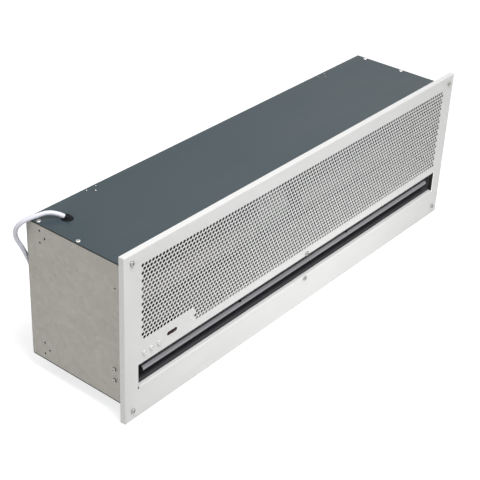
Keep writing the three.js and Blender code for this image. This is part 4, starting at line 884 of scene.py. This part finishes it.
def end_plate(name, side, node):
    """An end plate with flanges turned in under the wrap; side is -1 for the left end."""
    bm = bmesh.new()
    edge_drop = HOUSING_SHEET + CLEARANCE
    low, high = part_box(node)
    front, back = sorted((side * low.y, side * (high.y - PLATE_STEP)))
    line = rounded_line(
        [
            (-END_FLANGE, HOUSING_TOP - edge_drop), (0, HOUSING_TOP - edge_drop),
            (0, HOUSING_BOTTOM + edge_drop), (-END_FLANGE, HOUSING_BOTTOM + edge_drop),
        ],
        FOLD_RADIUS)
    draw_out(bm, chain(bm, [(front, z, x) for x, z in line])[1], (back - front, 0, 0))
    plate = max(bm.faces, key=lambda face: face.calc_area())
    holes = [((side * y, z), BRACKET_HOLE_RADIUS) for y, z in BRACKET_HOLES_END]
    holes += [((side * y, z), SCREW_HOLE_RADIUS) for y, z in END_SCREWS]
    holes.append(((side * SIDE_HOLE[0], SIDE_HOLE[1]), SIDE_HOLE_RADIUS))
    perforate(bm, plate, holes)
    turn_faces(bm, (0, 0, 1))
    bmesh.ops.transform(bm, matrix=facing_x((side * HOUSING_END, 0, 0), side), verts=bm.verts)
    return finish_piece(name, bm, "zinc_sheet", "housing", [node], HOUSING_SHEET)


# ---- Screws ----
# Head radius, head height, shank radius and length.
PANEL_SCREW_SIZE = (0.0046, 0.0026, 0.002, 0.015)
CASE_SCREW_SIZE = (0.004, 0.0024, 0.0019, 0.007)


def pan_head(name, node, slot, place, radius, height, shank, length):
    """A pan-head screw with a cross recess, drawn upright on its seat. The crown's middle is flat,
    and the recess is drawn down from a cross-shaped opening in it."""
    bm = bmesh.new()
    profile = [
        (0, -length), (shank * 0.7, -length), (shank, -length + 0.001), (shank, 0),
        (radius * 0.94, 0), (radius, 0.0003), (radius, height * 0.42),
        (radius * 0.95, height * 0.68), (radius * 0.84, height * 0.87), (radius * 0.66, height),
    ]
    verts, edges = chain(bm, [(across, 0, up) for across, up in profile])
    bmesh.ops.spin(
        bm, geom=verts + edges, cent=(0, 0, 0), axis=(0, 0, 1), dvec=(0, 0, 0),
        angle=2 * math.pi, steps=28, use_merge=True, use_duplicate=False)
    bmesh.ops.remove_doubles(bm, verts=bm.verts, dist=MERGE_DISTANCE)
    rim = [edge for edge in bm.edges if edge.is_boundary]
    arm, half = radius * 0.50, radius * 0.12
    quarter = [(arm, -half), (arm, half), (half, half)]
    cross = []
    for turn in (0, 1, 2, 3):
        spin = Matrix.Rotation(math.pi / 2 * turn + math.radians(30), 2)
        cross += [spin @ Vector(corner) for corner in quarter]
    opening = outline_edges(bm, cross, height)
    bmesh.ops.triangle_fill(bm, use_beauty=True, edges=rim + opening)
    bottom = draw_out(bm, opening, (0, 0, -height * 0.55))
    bmesh.ops.triangle_fill(bm, use_beauty=True, edges=bottom)
    bmesh.ops.recalc_face_normals(bm, faces=bm.faces)
    bmesh.ops.transform(bm, matrix=place, verts=bm.verts)
    return finish_piece(name, bm, slot, "housing", [node])


def all_screws():
    rows = []
    for i, (x, z) in enumerate(PANEL_SCREWS, 1):
        seat = on_front(x, z, -CLEARANCE)
        rows.append((f"panel_{{}}_{i}", "panel_screw", seat, PANEL_SCREW_SIZE))
    for i, (x, y) in enumerate(TOP_SCREWS, 1):
        seat = Matrix.Translation((x, y, HOUSING_TOP + CLEARANCE))
        rows.append((f"top_{{}}_{i}", "case_screw", seat, CASE_SCREW_SIZE))
    for word, side in ENDS:
        for i, (y, z) in enumerate(END_SCREWS, 1):
            seat = facing_x((side * (HOUSING_END + CLEARANCE), y, z), side)
            rows.append((f"end_{{}}_{word}_{i}", "panel_screw", seat, CASE_SCREW_SIZE))
    for name, slot, seat, size in rows:
        pan_head(name.format("fixing"), name.format("screw"), slot, seat, *size)


# ---- Vane ----
VANE_AXIS = Vector((-0.095, 0.104))
VANE_RIM = Vector((-0.1063, 0.0815))
VANE_LEFT = -0.4325
VANE_RIGHT = 0.437
VANE_SHEET = 0.0016
VANE_SPINE = 0.0036
VANE_BEAD = 0.0015
NOSE_RADIUS = 0.0065
NOSE_HEIGHT = 0.005
NOSE_TURN = 56  # degrees that the nose turns from its rim to the sloping strip
VANE_HEEL = Vector((-0.0955, 0.0922))
VANE_HANGERS = (-0.179, 0.148)
VANE_NOTCH = 0.006


def vane_line():
    """The vane's sheet in section: a curved nose above the rim, a sloping strip and a web that
    rises to the hinge line."""
    nose = arc((VANE_RIM.x + NOSE_RADIUS, VANE_RIM.y), NOSE_RADIUS, 180, 180 - NOSE_TURN, 12)
    return rounded_line([*nose, VANE_HEEL, VANE_AXIS], 0.0012)


def sheet_section(line, thickness):
    """The closed outline of a sheet that follows a line."""
    front, back = [], []
    for i, point in enumerate(line):
        along = line[min(i + 1, len(line) - 1)] - line[max(i - 1, 0)]
        across = Vector((-along.y, along.x)).normalized() * thickness / 2
        front.append(tuple(point + across))
        back.append(tuple(point - across))
    return front + back[::-1]


def outlet_vane():
    """Drawn out in lengths between its hangers; under each hanger the sheet is cut away and only
    the nose runs through."""
    bm = bmesh.new()
    line = [Vector(point) for point in vane_line()]
    nose = [point for point in line if point.y < VANE_RIM.y + NOSE_HEIGHT]
    spine = arc(VANE_AXIS, VANE_SPINE, 0, 345, 23)
    bead = arc((VANE_RIM.x + VANE_SHEET / 4, VANE_RIM.y), VANE_BEAD, 0, 337.5, 15)
    ends = [VANE_LEFT]
    for x in VANE_HANGERS:
        ends += [x - VANE_NOTCH / 2, x + VANE_NOTCH / 2]
    ends.append(VANE_RIGHT)
    for number, (start, end) in enumerate(zip(ends, ends[1:])):
        stand = facing_x((start, 0, 0))
        notched = number % 2
        prism(bm, sheet_section(nose if notched else line, VANE_SHEET), stand, end - start)
        prism(bm, bead, stand, end - start)
        if not notched:
            prism(bm, spine, stand, end - start)
    return finish_piece("outlet_vane", bm, "vane_aluminium", "vane", ["vane"])


# ---- Controls ----
BUTTON_PROUD = 0.0024
WINDOW_PROUD = 0.0004
LENS_DEPTH = 0.0031


def button_cap(number, x):
    """A moulded cap with a dished top and a softened edge, and the stem behind it."""
    bm = bmesh.new()
    proud = BUTTON_PROUD
    profile = [
        (0, -0.0073), (0.0016, -0.0073), (0.0016, -0.0040), (BUTTON_RADIUS, -0.0040),
        (BUTTON_RADIUS, proud - 0.0009), (BUTTON_RADIUS - 0.0002, proud - 0.0004),
        (BUTTON_RADIUS - 0.0006, proud - 0.0001), (BUTTON_RADIUS - 0.0010, proud),
        (BUTTON_RADIUS - 0.0018, proud - 0.0002), (BUTTON_RADIUS * 0.3, proud - 0.0005),
        (0, proud - 0.0005),
    ]
    turned(bm, profile, on_front(x, BUTTON_Z), 36)
    return finish_piece(f"cap_{number}", bm, "button_plastic", f"button_{number}",
                        [f"button_{number}"])


def obround_outline(length, height, steps=10):
    reach = (length - height) / 2
    right = arc((reach, 0), height / 2, -90, 90, steps)
    return right + arc((-reach, 0), height / 2, 90, 270, steps)


def receiver_lens():
    """A flush lens with a stepped back, its front edge softened."""
    bm = bmesh.new()
    x, z = WINDOW
    front = on_front(x, z, LENS_DEPTH - WINDOW_PROUD)
    prism(bm, obround_outline(WINDOW_LENGTH, WINDOW_HEIGHT), front, LENS_DEPTH, 0.0004)
    back = obround_outline(WINDOW_LENGTH - 0.004, WINDOW_HEIGHT - 0.004)
    prism(bm, back, on_front(x, z, 0.0042), 0.002)
    return finish_piece("receiver_lens", bm, "smoked_window", "housing", ["receiver_window"])


# ---- Impellers ----
AXIS_Y = 0.005
AXIS_Z = 0.165
IMPELLER_RADIUS = 0.055
BLADE_INNER_RADIUS = 0.043
BLADE_OUTER_RADIUS = 0.0544
BLADE_STEPS = 6
BLADE_COUNT = 36
BLADE_SHEET = 0.0006
BLADE_LEAN = 0.30  # radians that a blade's outer edge lies ahead of its inner one
IMPELLER_NEAR = 0.064
IMPELLER_FAR = 0.432
DISC_SHEET = 0.0025
HUB_RADIUS = 0.014
HUB_LENGTH = 0.014
MOTOR_BORE = 0.0063
END_BORE = 0.0043
SUPPORT_RINGS = 3
RING_INNER_RADIUS = 0.039
RING_HALF = 0.0006


def cross_flow_impeller(name, side, node):
    """Curved blades between two discs with hubs, steadied by rings along the length."""
    bm = bmesh.new()
    near = SLOT_MIDDLE + side * IMPELLER_NEAR
    far = SLOT_MIDDLE + side * IMPELLER_FAR
    along = facing_x((near, AXIS_Y, AXIS_Z), side)
    length = abs(far - near)
    hub = [
        (MOTOR_BORE, 0), (IMPELLER_RADIUS, 0), (IMPELLER_RADIUS, DISC_SHEET),
        (HUB_RADIUS, DISC_SHEET), (HUB_RADIUS, HUB_LENGTH), (MOTOR_BORE, HUB_LENGTH),
    ]
    turned(bm, hub, along, 48)
    outer = placed((far, AXIS_Y, AXIS_Z), (0, side, 0), (0, 0, -1), (-side, 0, 0))
    far_hub = [(radius if radius > MOTOR_BORE else END_BORE, up) for radius, up in hub]
    turned(bm, far_hub, outer, 48)
    for i in range(1, SUPPORT_RINGS + 1):
        at = length * i / (SUPPORT_RINGS + 1)
        ring = [
            (RING_INNER_RADIUS, at - RING_HALF), (IMPELLER_RADIUS, at - RING_HALF),
            (IMPELLER_RADIUS, at + RING_HALF), (RING_INNER_RADIUS, at + RING_HALF),
        ]
        turned(bm, ring, along, 48)
    front, back = [], []
    for i in range(BLADE_STEPS + 1):
        share = i / BLADE_STEPS
        radius = BLADE_INNER_RADIUS + (BLADE_OUTER_RADIUS - BLADE_INNER_RADIUS) * share
        turn = side * BLADE_LEAN * share * share
        for points, half in ((front, 1), (back, -1)):
            angle = turn + half * BLADE_SHEET / 2 / radius
            points.append((radius * math.cos(angle), radius * math.sin(angle)))
    blade = bmesh.new()
    inward = Matrix.Translation((0, 0, DISC_SHEET / 2))
    prism(blade, front + back[::-1], inward, length - DISC_SHEET)
    geometry = blade.verts[:] + blade.edges[:] + blade.faces[:]
    bmesh.ops.spin(
        blade, geom=geometry, cent=(0, 0, 0), axis=(0, 0, 1), dvec=(0, 0, 0),
        angle=2 * math.pi * (BLADE_COUNT - 1) / BLADE_COUNT, steps=BLADE_COUNT - 1,
        use_merge=False, use_duplicate=True)
    bmesh.ops.transform(blade, matrix=along, verts=blade.verts)
    add_solid(bm, blade, Matrix.Identity(4))
    return finish_piece(name, bm, "impeller", "rotor", [node])


# ---- Rivet nuts ----
def rivet_nuts():
    """Plated rivet nuts stand in the top's bracket holes; only their thin collars show."""
    bm = bmesh.new()
    collar = [
        (0.0013, -0.006), (0.0019, -0.006), (0.0019, 0.0001), (0.0032, 0.0001), (0.0034, 0.0003),
        (0.0032, 0.0006), (0.0017, 0.0006), (0.0013, 0.0003),
    ]
    for side in (-1, 1):
        for x, y in BRACKET_HOLES_TOP:
            turned(bm, collar, Matrix.Translation((side * x, y, HOUSING_TOP)), 16)
    return finish_piece("rivet_nuts", bm, "case_screw", "housing")


perforated_panel()
folded_wrap()
for end_word, end_side in ENDS:
    end_plate(f"end_sheet_{end_word}", end_side, f"end_plate_{end_word}")
all_screws()
rivet_nuts()
outlet_vane()
for cap_number, cap_x in enumerate(BUTTON_X, 1):
    button_cap(cap_number, cap_x)
receiver_lens()
for end_word, end_side in ENDS:
    cross_flow_impeller(f"cross_flow_impeller_{end_word}", end_side, f"impeller_{end_word}")


# ---- Floor and light ----
FLOOR_RADIUS = 12.0
FLOOR_GLOW = 0.72
WORLD_LIGHT = 0.36


def seen_directly(tree):
    """1 where the camera, a reflection or a refraction sees the surface, and 0 for its light."""
    path = add_node(tree, "ShaderNodeLightPath").outputs
    seen = add_node(tree, "ShaderNodeMath", {0: path["Is Camera Ray"], 1: path["Is Glossy Ray"]},
                    operation="MAXIMUM").outputs[0]
    return add_node(tree, "ShaderNodeMath", {0: seen, 1: path["Is Transmission Ray"]},
                    operation="MAXIMUM").outputs[0]


def make_floor():
    """A plain pale floor. What sees it directly gets a little glow, which brings it to white
    and leaves the object's shadow on it."""
    material = bpy.data.materials.new("pale_floor")
    material.use_nodes = True
    tree = material.node_tree
    tree.nodes.clear()
    matt = add_node(tree, "ShaderNodeBsdfDiffuse", {"Color": linear("C0C0C0")}).outputs[0]
    glow = add_node(tree, "ShaderNodeMath", {0: seen_directly(tree), 1: FLOOR_GLOW},
                    operation="MULTIPLY").outputs[0]
    lit = add_node(tree, "ShaderNodeEmission", {"Strength": glow}).outputs[0]
    both = add_node(tree, "ShaderNodeAddShader", {0: matt, 1: lit}).outputs[0]
    add_node(tree, "ShaderNodeOutputMaterial", {"Surface": both})
    bm = bmesh.new()
    bmesh.ops.create_circle(bm, cap_ends=True, segments=64, radius=FLOOR_RADIUS)
    floor = mesh_object("floor", bm, material)


def make_world():
    world = bpy.data.worlds.new("studio")
    bpy.context.scene.world = world
    world.use_nodes = True
    tree = world.node_tree
    tree.nodes.clear()
    strength = add_node(tree, "ShaderNodeMapRange", {
        "Value": seen_directly(tree), "To Min": WORLD_LIGHT, "To Max": 1.0}).outputs["Result"]
    light = add_node(tree, "ShaderNodeBackground", {"Color": (1, 1, 1, 1), "Strength": strength})
    add_node(tree, "ShaderNodeOutputWorld", {"Surface": light.outputs[0]})


def soft_lamp(name, place, aim, size, watts):
    data = bpy.data.lights.new(name, "AREA")
    data.shape = "DISK"
    data.size = size
    data.energy = watts
    lamp = add_object(name, data)
    lamp.location = place
    lamp.rotation_euler = (Vector(aim) - Vector(place)).to_track_quat("-Z", "Y").to_euler()
    return lamp


make_floor()
make_world()
soft_lamp("front_softbox", (-0.5, -1.15, 2.9), (0, 0, 0.12), 1.4, 72)
soft_lamp("left_softbox", (-2.6, -0.3, 1.3), (0, 0, 0.15), 1.4, 10)
low_softbox = soft_lamp("low_softbox", (0.04, -0.40, 0.035), (0.04, -0.11, 0.0), 0.86, 0.45)
low_softbox.data.shape = "ELLIPSE"
low_softbox.data.size_y = 0.06
low_softbox.visible_glossy = False
low_softbox.visible_camera = False

bpy.context.scene.view_settings.view_transform = "Standard"
